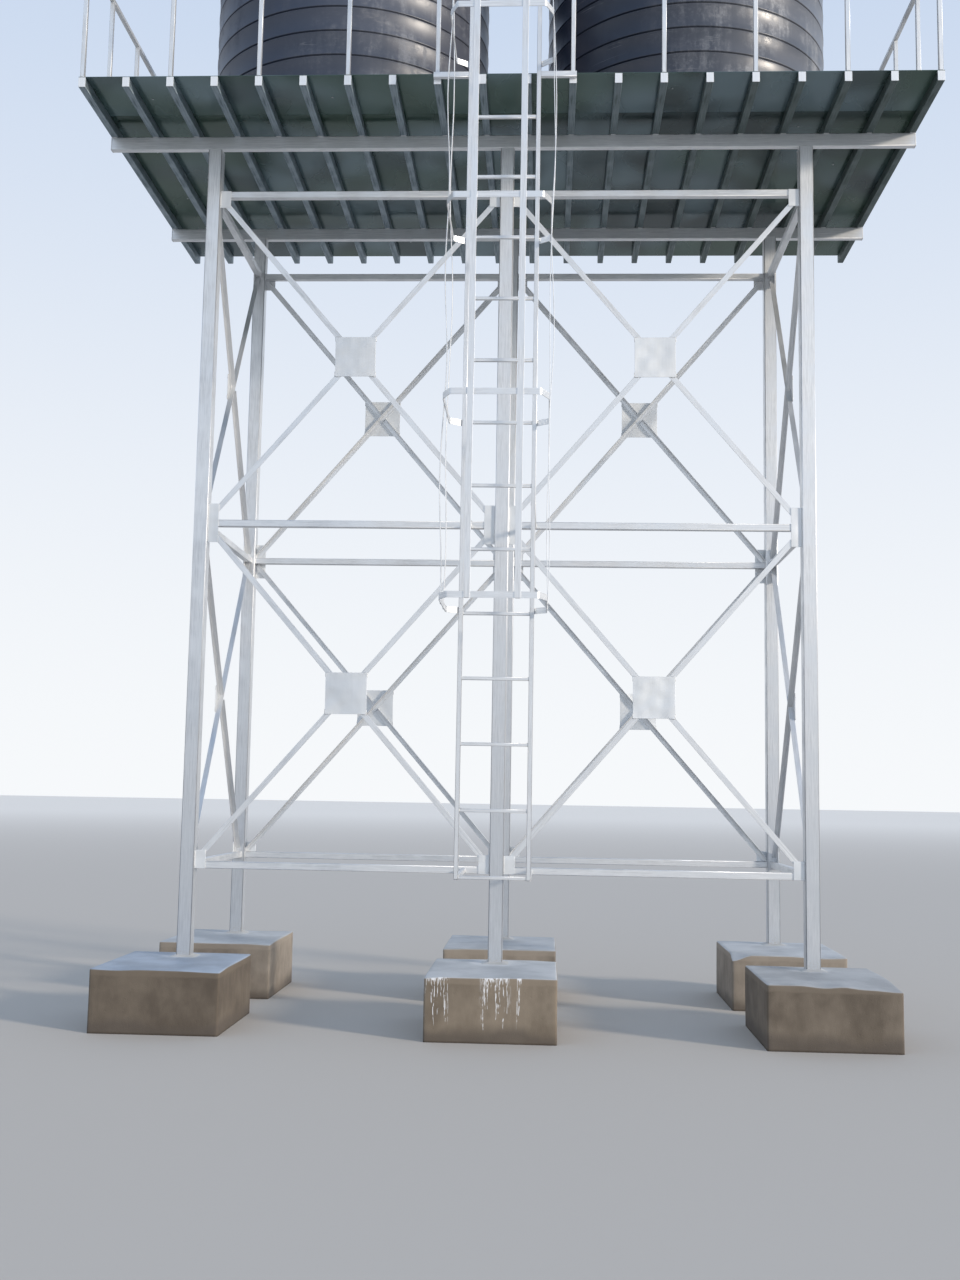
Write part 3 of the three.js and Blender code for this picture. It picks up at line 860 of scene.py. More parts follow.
class Workpiece:
    """A piece in the making: bars, plates, beads and turned parts gathered in one mesh.

    Every part lays its own lengths into the grain map, U across and V along, so that a
    brushed finish follows each bar whichever way it runs.
    """

    BEAD_PITCH = 0.007
    BEAD_FACES = 6
    BEAD_SWELL = 0.45  # share of its radius by which a bead swells and sinks
    BEAD_LUMPS = 90.0  # how closely those swellings follow each other
    BEAD_SHIFT = 1.7  # keeps one bead unlike the next
    BEAD_TIP = 0.55  # share of its radius at a bead's ends
    BEAD_ROOM = 1.6  # radii from a bead's middle line to the side of the tower's box

    def __init__(self, name: str, *finishes: Finish, stand: Matrix | None = None) -> None:
        """Starts an empty piece.

        Args:
            name: The finished object's name.
            finishes: Its finishes, which the parts choose by number.
            stand: Where the parts' own axes stand in the tower's frame.
        """
        self.name = name
        self.finishes = finishes
        self.stand = stand or Matrix.Identity(4)
        self.whole = bmesh.new()
        self.count = 0

    def take(self, part: bmesh.types.BMesh, grain: Matrix, finish: int = 0, plan: bool = False) -> None:
        """Adds a part to the piece and frees it.

        Args:
            part: The finished part, in the piece's own axes.
            grain: The part's axes, whose Z is the way that its finish runs.
            finish: Which of the piece's finishes it wears.
            plan: Lays the part's plan into the grain map, seen along the grain.
        """
        layer = part.loops.layers.uv.new(GRAIN_MAP)
        inverse = grain.inverted()
        turn = inverse.to_3x3()
        shift = self.count * GRAIN_SHIFT
        for face in part.faces:
            face.material_index = finish
            normal = turn @ face.normal
            across = 1 if abs(normal.x) > abs(normal.y) else 0
            for loop in face.loops:
                place = inverse @ loop.vert.co
                loop[layer].uv = place.xy if plan else (place[across] + shift, place.z)
        bmesh.ops.transform(part, matrix=self.stand, verts=part.verts)
        carried = bpy.data.meshes.new("carried")
        part.to_mesh(carried)
        part.free()
        self.whole.from_mesh(carried)
        bpy.data.meshes.remove(carried)
        self.count += 1

    def block(self, low: Sequence[float], high: Sequence[float], grain: Grain, radius: float = 0.0,
              finish: int = 0, all_edges: bool = False, steps: int = 3) -> None:
        """A box with rounded edges along its length.

        Args:
            low: Lowest corner.
            high: Highest corner.
            grain: The way that it runs.
            radius: How far its edges are rounded.
            finish: Which finish it wears.
            all_edges: Rounds the ends too, as on a plate.
            steps: Faces round each edge.
        """
        low, high = Vector(low), Vector(high)
        axes = Matrix.Translation((low + high) / 2) @ grain.value
        size = high - low
        spans = {Grain.X: size.zyx, Grain.Y: size.xzy, Grain.Z: size}[grain]
        self.bar(axes, spans, radius, finish, all_edges, steps)

    def bar(self, axes: Matrix, spans: Sequence[float], radius: float, finish: int = 0,
            all_edges: bool = False, steps: int = 3, cuts: Sequence[Cut] = ()) -> None:
        """A straight bar in any direction.

        Args:
            axes: Its centre and axes, with its length on Z.
            spans: Its width, depth and length.
            radius: How far its long edges are rounded.
            finish: Which finish it wears.
            all_edges: Rounds the ends too.
            steps: Faces round each edge.
            cuts: Planes that trim it.
        """
        part = bmesh.new()
        bmesh.ops.create_cube(part, size=1.0, matrix=Matrix.Diagonal((*spans, 1.0)))
        if radius:
            edges = [edge for edge in part.edges if all_edges or runs_along(edge)]
            for face in round_off(part, edges, radius, steps):
                face.smooth = True
        bmesh.ops.transform(part, matrix=axes, verts=part.verts)
        self._trim(part, cuts)
        self.take(part, axes, finish)

    def angle_bar(self, start: Vector, end: Vector, leg: float, thickness: float,
                  cuts: Sequence[Cut]) -> None:
        """An angle bar in the XZ plane, with one leg flat and one turned in along the top.

        Args:
            start: The left end of its middle line, on the outer face.
            end: The right end.
            leg: Width of each leg.
            thickness: Thickness of the legs.
            cuts: Planes that trim its ends.
        """
        along = (end - start).normalized()
        inward = Vector((0.0, 1.0, 0.0))
        down = inward.cross(along)
        half = leg / 2
        section = ((half, 0.0), (half, thickness), (thickness - half, thickness),
                   (thickness - half, leg), (-half, leg), (-half, 0.0))
        part = bmesh.new()
        foot = start - along * leg
        corners = [part.verts.new(foot + down * off + inward * depth) for off, depth in section]
        cap = part.faces.new(corners)
        grown = bmesh.ops.extrude_face_region(part, geom=[cap], use_keep_orig=True)
        slide_new(part, grown, end - start + along * leg * 2)
        bmesh.ops.recalc_face_normals(part, faces=part.faces)
        round_off(part, [edge for edge in part.edges if runs_along(edge, along)], thickness * 0.3, 1)
        self._trim(part, cuts)
        axes = Matrix((down, inward, along)).transposed().to_4x4()
        axes.translation = start
        self.take(part, axes)

    def strip(self, path: Sequence[Vector], height: float, thickness: float, bend: float) -> None:
        """A flat bar on edge, bent along a level path, its outer face on the path.

        Args:
            path: Corner points at the bar's lower edge, with the outside on their right.
            height: The bar's width, which stands upright.
            thickness: Its thickness, laid inwards.
            bend: Radius of the bends.
        """
        part = bmesh.new()
        line = [part.verts.new(point) for point in path]
        edges = [part.edges.new(pair) for pair in zip(line, line[1:])]
        grown = bmesh.ops.extrude_edge_only(part, edges=edges)
        slide_new(part, grown, (0.0, 0.0, height))
        round_off(part, [edge for edge in part.edges if edge.is_manifold], bend, 3)
        bmesh.ops.recalc_face_normals(part, faces=part.faces)
        middle = sum((vert.co for vert in part.verts), Vector()) / len(part.verts)
        first = part.faces[:][0]
        if first.normal.dot(first.calc_center_median() - middle) < 0:
            bmesh.ops.reverse_faces(part, faces=part.faces)
        bmesh.ops.solidify(part, geom=part.faces[:], thickness=thickness)
        self.take(part, Matrix.Translation(path[0]) @ Grain.X.value)

    def bead(self, start: Sequence[float], end: Sequence[float], radius: float, finish: int = 1) -> None:
        """A weld bead between two points, swelling and sinking along its length.

        Args:
            start: Where its middle line starts.
            end: Where it ends.
            radius: Its radius.
            finish: Which of the piece's finishes it wears.
        """
        room = radius * self.BEAD_ROOM
        start, end = (self._kept_inside(Vector(point), room) for point in (start, end))
        run = end - start
        part = bmesh.new()
        bmesh.ops.create_cone(part, cap_ends=True, segments=self.BEAD_FACES, radius1=radius,
                              radius2=radius, depth=run.length)
        lengthwise = [edge for edge in part.edges if runs_along(edge)]
        cuts = max(2, round(run.length / self.BEAD_PITCH))
        bmesh.ops.subdivide_edges(part, edges=lengthwise, cuts=cuts)
        for vert in part.verts:
            seed = Vector((vert.co.z * self.BEAD_LUMPS, self.count * self.BEAD_SHIFT, 0.0))
            tip = self.BEAD_TIP if abs(vert.co.z) > run.length / 2 - TINY else 1.0
            swell = tip * (1.0 + self.BEAD_SWELL * noise.noise(seed))
            vert.co.x *= swell
            vert.co.y *= swell
        axes = run.to_track_quat("Z", "Y").to_matrix().to_4x4()
        axes.translation = (start + end) / 2
        bmesh.ops.transform(part, matrix=axes, verts=part.verts)
        shade_smooth(part)
        self.take(part, axes, finish)

    def bead_round(self, low: Sequence[float], high: Sequence[float], grain: Grain, radius: float,
                   at_high: bool) -> None:
        """A weld bead round one end of a box-shaped bar.

        Args:
            low: The bar's lowest corner.
            high: Its highest corner.
            grain: The way that it runs.
            radius: The bead's radius.
            at_high: Welds the end with the higher place, and otherwise the lower.
        """
        axis = "XYZ".index(grain.name)
        first, second = (number for number in range(3) if number != axis)
        corners = []
        for one, two in ((low, low), (high, low), (high, high), (low, high)):
            corner = [0.0, 0.0, 0.0]
            corner[axis] = (high if at_high else low)[axis]
            corner[first] = one[first]
            corner[second] = two[second]
            corners.append(corner)
        for start, end in zip(corners, corners[1:] + corners[:1]):
            self.bead(start, end, radius)

    def bead_ends(self, low: Sequence[float], high: Sequence[float], grain: Grain, radius: float) -> None:
        """Weld beads round both ends of a box-shaped bar, the lower one first."""
        for at_high in (False, True):
            self.bead_round(low, high, grain, radius, at_high)

    def turned(self, outline: Sequence[tuple[float, float]], centre: Vector, steps: int,
               shape: "Fluting | None" = None, finish: int = 0) -> None:
        """A body turned about Z from radius and height points.

        Args:
            outline: The points, closed on the axis or on themselves.
            centre: The place of radius 0 and height 0.
            steps: Faces round the turn.
            shape: Radial flutes pressed into the turned body.
            finish: Which finish it wears.
        """
        part = bmesh.new()
        line = [part.verts.new((radius, 0.0, height)) for radius, height in outline]
        edges = [part.edges.new(pair) for pair in zip(line, line[1:])]
        bmesh.ops.spin(part, geom=line + edges, axis=(0.0, 0.0, 1.0), cent=(0.0, 0.0, 0.0),
                       angle=math.tau, steps=steps, use_merge=True)
        bmesh.ops.remove_doubles(part, verts=part.verts, dist=TINY)
        bmesh.ops.recalc_face_normals(part, faces=part.faces)
        if shape:
            shape.press(part)
        shade_smooth(part)
        for edge in part.edges:
            edge.smooth = edge.calc_face_angle(0.0) < SHARP_ANGLE
        axes = Matrix.Translation(centre)
        bmesh.ops.transform(part, matrix=axes, verts=part.verts)
        self.take(part, axes, finish)

    def finished(self, slot: Slot, effects: Effects, *nodes: str) -> bpy.types.Object:
        """Makes the object, which rides on the tower and stands for its nodes.

        Args:
            slot: The record's material slot; not used.
            effects: The shared node groups.
            nodes: The nodes that the piece stands for.

        Returns:
            The finished object.
        """
        mesh = bpy.data.meshes.new(self.name)
        self.whole.to_mesh(mesh)
        self.whole.free()
        for finish in self.finishes:
            mesh.materials.append(finish.material(effects))
        made = put(self.name, mesh)
        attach(made, "root")
        if nodes:
            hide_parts(*nodes)
        log.info("%s: %d parts, %d faces", self.name, self.count, len(mesh.polygons))
        return made

    def _kept_inside(self, point: Vector, margin: float) -> Vector:
        """The point, or the nearest that lies a margin inside the whole tower's box.

        Args:
            point: The point, in the piece's own axes.
            margin: How far inside the box it has to lie.

        Returns:
            The place for it, in the piece's own axes.
        """
        place = self.stand @ point
        for axis, (least, most) in enumerate(zip(cad_low, cad_high)):
            place[axis] = min(max(place[axis], least + margin), most - margin)
        return self.stand.inverted() @ place

    @staticmethod
    def _trim(part: bmesh.types.BMesh, cuts: Sequence[Cut]) -> None:
        """Cuts a part at each plane and closes the ends.

        Args:
            part: The part.
            cuts: The planes.
        """
        for cut in cuts:
            everything = part.verts[:] + part.edges[:] + part.faces[:]
            bmesh.ops.bisect_plane(part, geom=everything, dist=TINY, plane_co=cut.point,
                                   plane_no=cut.normal, clear_outer=True)
            bmesh.ops.holes_fill(part, edges=[edge for edge in part.edges if edge.is_boundary])


@dataclass(frozen=True)
class Fluting:
    """Shallow radial flutes between two radii."""

    number: int
    depth: float
    inner: float
    outer: float

    def press(self, part: bmesh.types.BMesh) -> None:
        """Moves the points of a turned body down into flutes.

        Args:
            part: The body, with its axis on Z.
        """
        for vert in part.verts:
            radius = math.hypot(vert.co.x, vert.co.y)
            if not self.inner < radius < self.outer:
                continue
            share = math.sin(math.pi * (radius - self.inner) / (self.outer - self.inner))
            wave = 0.5 - 0.5 * math.cos(self.number * math.atan2(vert.co.y, vert.co.x))
            vert.co.z -= self.depth * share * wave ** 3


@dataclass(frozen=True)
class Slump:
    """A place where a pad's top sank before it set."""

    across: float  # 0 at the pad's left side, 1 at its right
    back: float  # 0 at its front, 1 at its back
    reach: float
    depth: float

    def sink(self, share_across: float, share_back: float, spans: Vector) -> float:
        """How far the top lies lower at a place on the pad.

        Args:
            share_across: The place, from 0 at the left to 1 at the right.
            share_back: The place, from 0 at the front to 1 at the back.
            spans: The pad's size.

        Returns:
            The depth, in metres.
        """
        off = Vector(((share_across - self.across) * spans.x, (share_back - self.back) * spans.y))
        share = max(0.0, 1.0 - off.length / self.reach)
        return self.depth * share * share * (3.0 - 2.0 * share)


SLUMPS = {
    "pad_front_right": (Slump(1.0, 0.0, 0.42, 0.030), Slump(0.42, 0.0, 0.16, 0.012),
                        Slump(0.68, 0.0, 0.12, 0.006)),
    "pad_front_left": (Slump(1.0, 0.0, 0.30, 0.008), Slump(0.2, 0.0, 0.2, 0.005)),
    "pad_front_middle": (Slump(0.0, 0.0, 0.14, 0.010), Slump(1.0, 1.0, 0.2, 0.006)),
    "pad_back_right": (Slump(0.0, 0.0, 0.16, 0.045), Slump(0.8, 0.0, 0.3, 0.012)),
    "pad_back_left": (Slump(1.0, 0.0, 0.2, 0.008),),
    "pad_back_middle": (Slump(0.0, 0.0, 0.2, 0.007),),
}


@dataclass
class Footings:
    """Six cast pads, and the cement round each column's foot."""

    effects: Effects
    cells: int = 24
    edge_radius: float = 0.013
    waviness: float = 0.007
    side_waves: float = 2.3  # how closely the waves of the sides follow each other
    top_waves: float = 2.6  # the same for the top's edges
    collar_reach: float = 0.045
    collar_height: float = 0.014
    collar_cuts: int = 7
    collar_rag: float = 0.22  # share of its reach by which a collar's foot comes and goes
    edge_share: float = 0.28  # how far towards its middle a pad's sides are drawn in

    def build(self) -> None:
        """Casts the pads and lays the collars."""
        for row in ROWS:
            for side in SIDES:
                self._pad(row, side)
                self._collar(row, side)

    def _pad(self, row: str, side: str) -> None:
        """One pad with rounded, slightly wavy edges.

        Args:
            row: Front or back.
            side: Left, middle or right.
        """
        node = f"pad_{row}_{side}"
        low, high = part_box(node)
        column = self._column_centre(row, side)
        piece = Workpiece(f"{node}_cast", PAD_FINISHES.get(node, CAST))
        part = bmesh.new()
        bmesh.ops.create_cube(part, size=1.0)
        bmesh.ops.subdivide_edges(part, edges=part.edges[:], cuts=self.cells - 1, use_grid_fill=True)
        place = Matrix.Translation((low + high) / 2) @ Matrix.Diagonal((*(high - low), 1.0))
        bmesh.ops.transform(part, matrix=place, verts=part.verts)
        corners = [edge for edge in part.edges
                   if edge.calc_face_angle(0.0) > 1.0 and self._above(edge, low.z)]
        round_off(part, corners, self.edge_radius, 3, clamp=True)
        self._make_wavy(part, low, high, SLUMPS[node])
        shade_smooth(part)
        piece.take(part, Matrix.Translation(column), plan=True)
        piece.finished(Slot.CONCRETE, self.effects, node)

    def _make_wavy(self, part: bmesh.types.BMesh, low: Vector, high: Vector,
                   slumps: Sequence[Slump]) -> None:
        """Draws the sides in by a few millimetres of smooth noise, and sinks the top.

        Args:
            part: The pad.
            low: Its lowest corner.
            high: Its highest corner.
            slumps: Where the top sank.
        """
        middle, spans = (low + high) / 2, high - low
        for vert in part.verts:
            rise = (vert.co.z - low.z) / spans.z
            shares = ((vert.co.x - low.x) / spans.x, (vert.co.y - low.y) / spans.y)
            sunk = sum(slump.sink(*shares, spans) for slump in slumps)
            drawn = self.waviness * (0.5 + 0.5 * noise.noise(vert.co * self.side_waves))
            seed = vert.co * self.top_waves + Vector((7.0, 0.0, 0.0))
            lift = self.waviness * (0.5 + 0.5 * noise.noise(seed))
            across = self._edgeness(vert.co.x, low.x, high.x)
            back = self._edgeness(vert.co.y, low.y, high.y)
            vert.co.x += math.copysign(drawn, middle.x - vert.co.x) * across
            vert.co.y += math.copysign(drawn, middle.y - vert.co.y) * back
            vert.co.z -= (lift * max(across, back) + sunk) * rise ** 3

    def _edgeness(self, value: float, low: float, high: float) -> float:
        """0 in the pad's middle and 1 at its sides, rising close to them."""
        off = abs(value - (low + high) / 2) / ((high - low) / 2)
        return max(0.0, (off - (1.0 - self.edge_share)) / self.edge_share)

    @staticmethod
    def _above(edge: bmesh.types.BMEdge, level: float) -> bool:
        """True unless the edge lies on the ground."""
        return max(vert.co.z for vert in edge.verts) > level + TINY

    @staticmethod
    def _column_centre(row: str, side: str) -> Vector:
        """The column's centre, at its foot."""
        low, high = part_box(f"column_{row}_{side}")
        return Vector(((low.x + high.x) / 2, (low.y + high.y) / 2, low.z))

    def _collar(self, row: str, side: str) -> None:
        """A thin ragged fillet of cement between a pad and its column.

        Args:
            row: Front or back.
            side: Left, middle or right.
        """
        low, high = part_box(f"column_{row}_{side}")
        centre = self._column_centre(row, side)
        half = (high.x - low.x) / 2
        piece = Workpiece(f"cement_collar_{row}_{side}", CEMENT)
        part = bmesh.new()
        outer = (half + self.collar_reach) * math.sqrt(2)
        inner = (half - 0.002) * math.sqrt(2)
        bmesh.ops.create_cone(part, cap_ends=True, segments=4, radius1=outer, radius2=inner,
                              depth=self.collar_height)
        turn = Matrix.Rotation(math.pi / 4, 3, "Z")
        bmesh.ops.rotate(part, verts=part.verts, cent=(0, 0, 0), matrix=turn)
        bmesh.ops.subdivide_edges(part, edges=part.edges[:], cuts=self.collar_cuts, use_grid_fill=True)
        for vert in part.verts:
            if vert.co.z < TINY - self.collar_height / 2:
                seed = (vert.co + centre) * 22.0
                vert.co.xy *= 1.0 + self.collar_rag * noise.noise(seed)
        rise = Vector((0, 0, self.collar_height / 2 - 0.001))
        bmesh.ops.translate(part, verts=part.verts, vec=centre + rise)
        shade_smooth(part)
        piece.take(part, Matrix.Translation(centre))
        piece.finished(Slot.CONCRETE, self.effects)


@dataclass
class Columns:
    """Six square tubes with rounded corners, welded to the beams."""

    effects: Effects
    corner_radius: float = 0.006
    bead_radius: float = 0.004

    def build(self) -> None:
        """Makes each column with its weld at the top."""
        for row in ROWS:
            for side in SIDES:
                node = f"column_{row}_{side}"
                low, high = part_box(node)
                piece = Workpiece(f"{node}_tube", COLUMN_PAINT, FRAME_WELD)
                piece.block(low, high, Grain.Z, self.corner_radius, steps=4)
                inset = Vector((self.bead_radius, self.bead_radius, 0.0))
                piece.bead_round(low + inset / 2, high - inset / 2, Grain.Z, self.bead_radius, True)
                piece.finished(Slot.STEEL, self.effects, node)


@dataclass
class BracedSide:
    """One side between two columns: girts, crossed angle bars and joining plates."""

    effects: Effects
    node: str
    turn: float
    centre_plate: float
    girt: float = 0.05
    girt_radius: float = 0.004
    middle_girt: float = 2.47  # above the low girt
    leg: float = 0.04
    leg_thickness: float = 0.004
    plate: float = 0.006
    plate_radius: float = 0.0012
    corner_plate_width: float = 0.078
    corner_plate_end: float = 0.13
    corner_plate_middle: float = 0.285
    bead_radius: float = 0.0035
    plate_skew: float = 0.02

    def build(self) -> None:
        """Makes the side in its own axes, with its outer face on Y = 0."""
        low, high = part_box(self.node)
        turn = Matrix.Rotation(self.turn, 4, "Z")
        span = (turn.inverted() @ (high - low).to_4d()).to_3d()
        outward = turn @ Vector((0.0, -1.0, 0.0))
        centre = (low + high) / 2
        depth = abs(span.y)
        face = centre + outward * (depth / 2 - self.plate)
        stand = Matrix.Translation((face.x, face.y, 0.0)) @ turn
        self.half = abs(span.x) / 2
        self.piece = Workpiece(f"{self.node}_lattice", SILVER, FRAME_WELD, PLATE_PAINT, stand=stand)
        first = low.z + self.girt / 2
        levels = (first, first + self.middle_girt, high.z - self.girt / 2)
        for level in levels:
            self._girt(level)
        for foot, head in zip(levels, levels[1:]):
            self._tier(foot + self.girt / 2, head - self.girt / 2)
        self._corner_plates(levels)
        self.piece.finished(Slot.STEEL, self.effects, self.node)

    def _girt(self, level: float) -> None:
        """A level square tube, welded all round at both ends.

        Args:
            level: The height of its middle line.
        """
        low = (-self.half, 0.0, level - self.girt / 2)
        high = (self.half, self.girt, level + self.girt / 2)
        self.piece.block(low, high, Grain.X, self.girt_radius)
        self.piece.bead_ends(low, high, Grain.X, self.bead_radius)

    def _tier(self, foot: float, head: float) -> None:
        """An X of angle bars with its square plate. The falling bar is whole, the other cut.

        Args:
            foot: The height at which the bars start.
            head: The height at which they end.
        """
        left, right = -self.half, self.half
        ends = [Cut(Vector((left, 0, 0)), Vector((-1, 0, 0))),
                Cut(Vector((right, 0, 0)), Vector((1, 0, 0))),
                Cut(Vector((0, 0, foot)), Vector((0, 0, -1))),
                Cut(Vector((0, 0, head)), Vector((0, 0, 1)))]
        falling = (Vector((left, 0, head)), Vector((right, 0, foot)))
        rising = (Vector((left, 0, foot)), Vector((right, 0, head)))
        self.piece.angle_bar(*falling, self.leg, self.leg_thickness, ends)
        along = (falling[1] - falling[0]).normalized()
        across = along.cross(Vector((0, 1, 0)))
        middle = (rising[0] + rising[1]) / 2
        gap = self.leg / 2 + 0.001
        for side in (-1, 1):
            place = middle + across * side * gap
            self.piece.angle_bar(*rising, self.leg, self.leg_thickness, [*ends, Cut(place, -across * side)])
            self._crossing_bead(place, along)
        self._centre_plate(middle)
        for end in (*falling, *rising):
            self._end_bead(end, middle)

    def _crossing_bead(self, place: Vector, along: Vector) -> None:
        """The weld where a cut bar meets the whole one.

        Args:
            place: The cut bar's end, on the outer face.
            along: The way that the whole bar runs.
        """
        reach = along * self.leg * 0.6
        lift = Vector((0.0, self.leg_thickness, 0.0))
        self.piece.bead(place - reach + lift, place + reach + lift, self.bead_radius)

    def _end_bead(self, end: Vector, middle: Vector) -> None:
        """A weld on the inner side of a bar's end, up against the girt.

        Args:
            end: Where the bar ends.
            middle: Where the bars cross.
        """
        inward = (middle - end).normalized()
        level = end.z + math.copysign(0.002, middle.z - end.z)
        start = Vector((end.x + math.copysign(0.004, middle.x - end.x), self.leg_thickness, level))
        reach = self.leg / max(abs(inward.z), 0.3)
        stop = start + Vector((math.copysign(reach * 0.6, middle.x - end.x), 0.0, 0.0))
        self.piece.bead(start, stop, self.bead_radius)

    def _centre_plate(self, middle: Vector) -> None:
        """A square plate over the crossing, cut a little out of true, with tacked corners.

        Args:
            middle: Where the bars cross.
        """
        half = self.centre_plate / 2
        skew = self.plate_skew * noise.noise(middle * 5.1 + Vector((self.turn, 0, 0)))
        axes = Matrix.Translation(middle + Vector((0, -self.plate / 2 + 0.0005, 0)))
        axes = axes @ Matrix.Rotation(skew, 4, "Y")
        shrink = abs(math.sin(skew)) * self.centre_plate / 2
        side = self.centre_plate - 2 * shrink
        spans = (side, self.plate - 0.001, side)
        self.piece.bar(axes, spans, self.plate_radius, finish=2, all_edges=True, steps=2)
        for across in (-1, 1):
            for up in (-1, 1):
                corner = middle + Vector((across * half, -0.002, up * half))
                self.piece.bead(corner, corner - Vector((across * 0.030, 0, 0)), self.bead_radius)
                self.piece.bead(corner, corner - Vector((0, 0, up * 0.036)), self.bead_radius)

    def _corner_plates(self, levels: Sequence[float]) -> None:
        """The plates that tie the bars to the girts beside each column.

        Args:
            levels: The heights of the three girts.
        """
        end, half_middle = self.corner_plate_end, self.corner_plate_middle / 2
        low, middle, high = levels
        bottom, top = low - self.girt / 2, high + self.girt / 2
        for start, stop in ((bottom, bottom + end), (middle - half_middle, middle + half_middle),
                            (top - end, top)):
            for side in (-1, 1):
                edges = sorted((side * self.half, side * (self.half - self.corner_plate_width)))
                self.piece.block((edges[0], -self.plate, start), (edges[1], 0.0, stop), Grain.Z,
                                 self.plate_radius, finish=2, all_edges=True, steps=2)
                column = side * (self.half - 0.002)
                self.piece.bead((column, -self.plate + 0.001, start + 0.01),
                                (column, -self.plate + 0.001, stop - 0.01), self.bead_radius)


@dataclass
class Deck:
    """Main beams, joists and the dark plate deck."""

    effects: Effects
    beam_radius: float = 0.006
    joist_radius: float = 0.005
    bead_radius: float = 0.0035
    sheet_gap: float = 0.002
    cross_seam: float = 0.56  # from the deck's front edge
    sheet_joists: int = 4  # joists from one lengthwise seam to the next
    sheet_radius: float = 0.0008
    cap: float = 0.004  # plate on a joist's front end
    cap_radius: float = 0.001
    seam_welds: int = 12  # on each lengthwise seam
    seam_weld: float = 0.04
    tack: float = 0.012
    tack_radius: float = 0.005
    tacks: tuple[tuple[float, float], ...] = (
        (-2.56, -0.93), (-2.76, -0.10), (-2.74, 0.74), (-1.25, -0.94), (-0.94, 1.67),
        (1.17, -1.03), (2.15, -0.46), (2.53, 0.16), (0.21, 0.10))

    def build(self) -> None:
        """Makes the beams, the joists and the sheets."""
        for row in ROWS:
            self._beam(row)
        joists = sorted(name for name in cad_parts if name.startswith("joist_"))
        for node in joists:
            self._joist(node)
        self._sheets([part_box(node) for node in joists])

    def _beam(self, row: str) -> None:
        """A long tube with welded end caps.

        Args:
            row: Front or back.
        """
        node = f"main_beam_{row}"
        low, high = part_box(node)
        piece = Workpiece(f"{node}_tube", SILVER, FRAME_WELD)
        piece.block(low, high, Grain.X, self.beam_radius)
        inset = Vector((self.bead_radius, self.bead_radius / 2, self.bead_radius / 2))
        piece.bead_ends(low + inset, high - inset, Grain.X, self.bead_radius)
        piece.finished(Slot.STEEL, self.effects, node)

    def _joist(self, node: str) -> None:
        """A cross tube with closed ends, welded where it crosses the beams. Its tube wears paint darkened as
        painted shade, its front cap a paler paint.

        Args:
            node: The joist's node.
        """
        low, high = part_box(node)
        piece = Workpiece(f"{node}_tube", SHADED_JOIST_PAINT, FRAME_WELD, CAP_PAINT)
        piece.block((low.x, low.y + self.cap, low.z), high, Grain.Y, self.joist_radius)
        piece.block(low, (high.x, low.y + self.cap, high.z), Grain.Z, self.cap_radius, finish=2,
                    all_edges=True, steps=2)
        for row in ROWS:
            start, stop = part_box(f"main_beam_{row}")
            for edge in (start.y, stop.y):
                piece.bead((low.x + 0.006, edge, low.z), (high.x - 0.006, edge, low.z), self.bead_radius)
        piece.finished(Slot.STEEL, self.effects, node)

    def _sheets(self, joists: Sequence[tuple[Vector, Vector]]) -> None:
        """Separate sheets that meet on the joists, with one seam across them.

        Args:
            joists: The joists' boxes, from left to right.
        """
        low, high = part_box("deck_plate")
        piece = Workpiece("deck_sheets", DECK, FRAME_WELD)
        middles = [(start.x + stop.x) / 2 for start, stop in joists]
        lines = [low.x, *middles[self.sheet_joists::self.sheet_joists][:-1], high.x]
        seam = low.y + self.cross_seam
        half = self.sheet_gap / 2
        for left, right in zip(lines, lines[1:]):
            for near, far in ((low.y, seam), (seam, high.y)):
                start = (left + half * (left > low.x), near + half * (near > low.y), low.z)
                stop = (right - half * (right < high.x), far - half * (far < high.y), high.z)
                piece.block(start, stop, Grain.Y, self.sheet_radius, all_edges=True, steps=1)
        level, half = high.z - 0.003, self.seam_weld / 2
        for x in lines[1:-1]:
            for number in range(self.seam_welds):
                y = low.y + (number + 0.5) * (high.y - low.y) / self.seam_welds
                piece.bead((x, y - half, level), (x, y + half, level), 0.003)
        level, half = low.z - 0.001, self.tack / 2
        for x, y in self.tacks:
            piece.bead((x - half, y, level), (x + half, y, level), self.tack_radius)
        piece.finished(Slot.DECK, self.effects, "deck_plate")


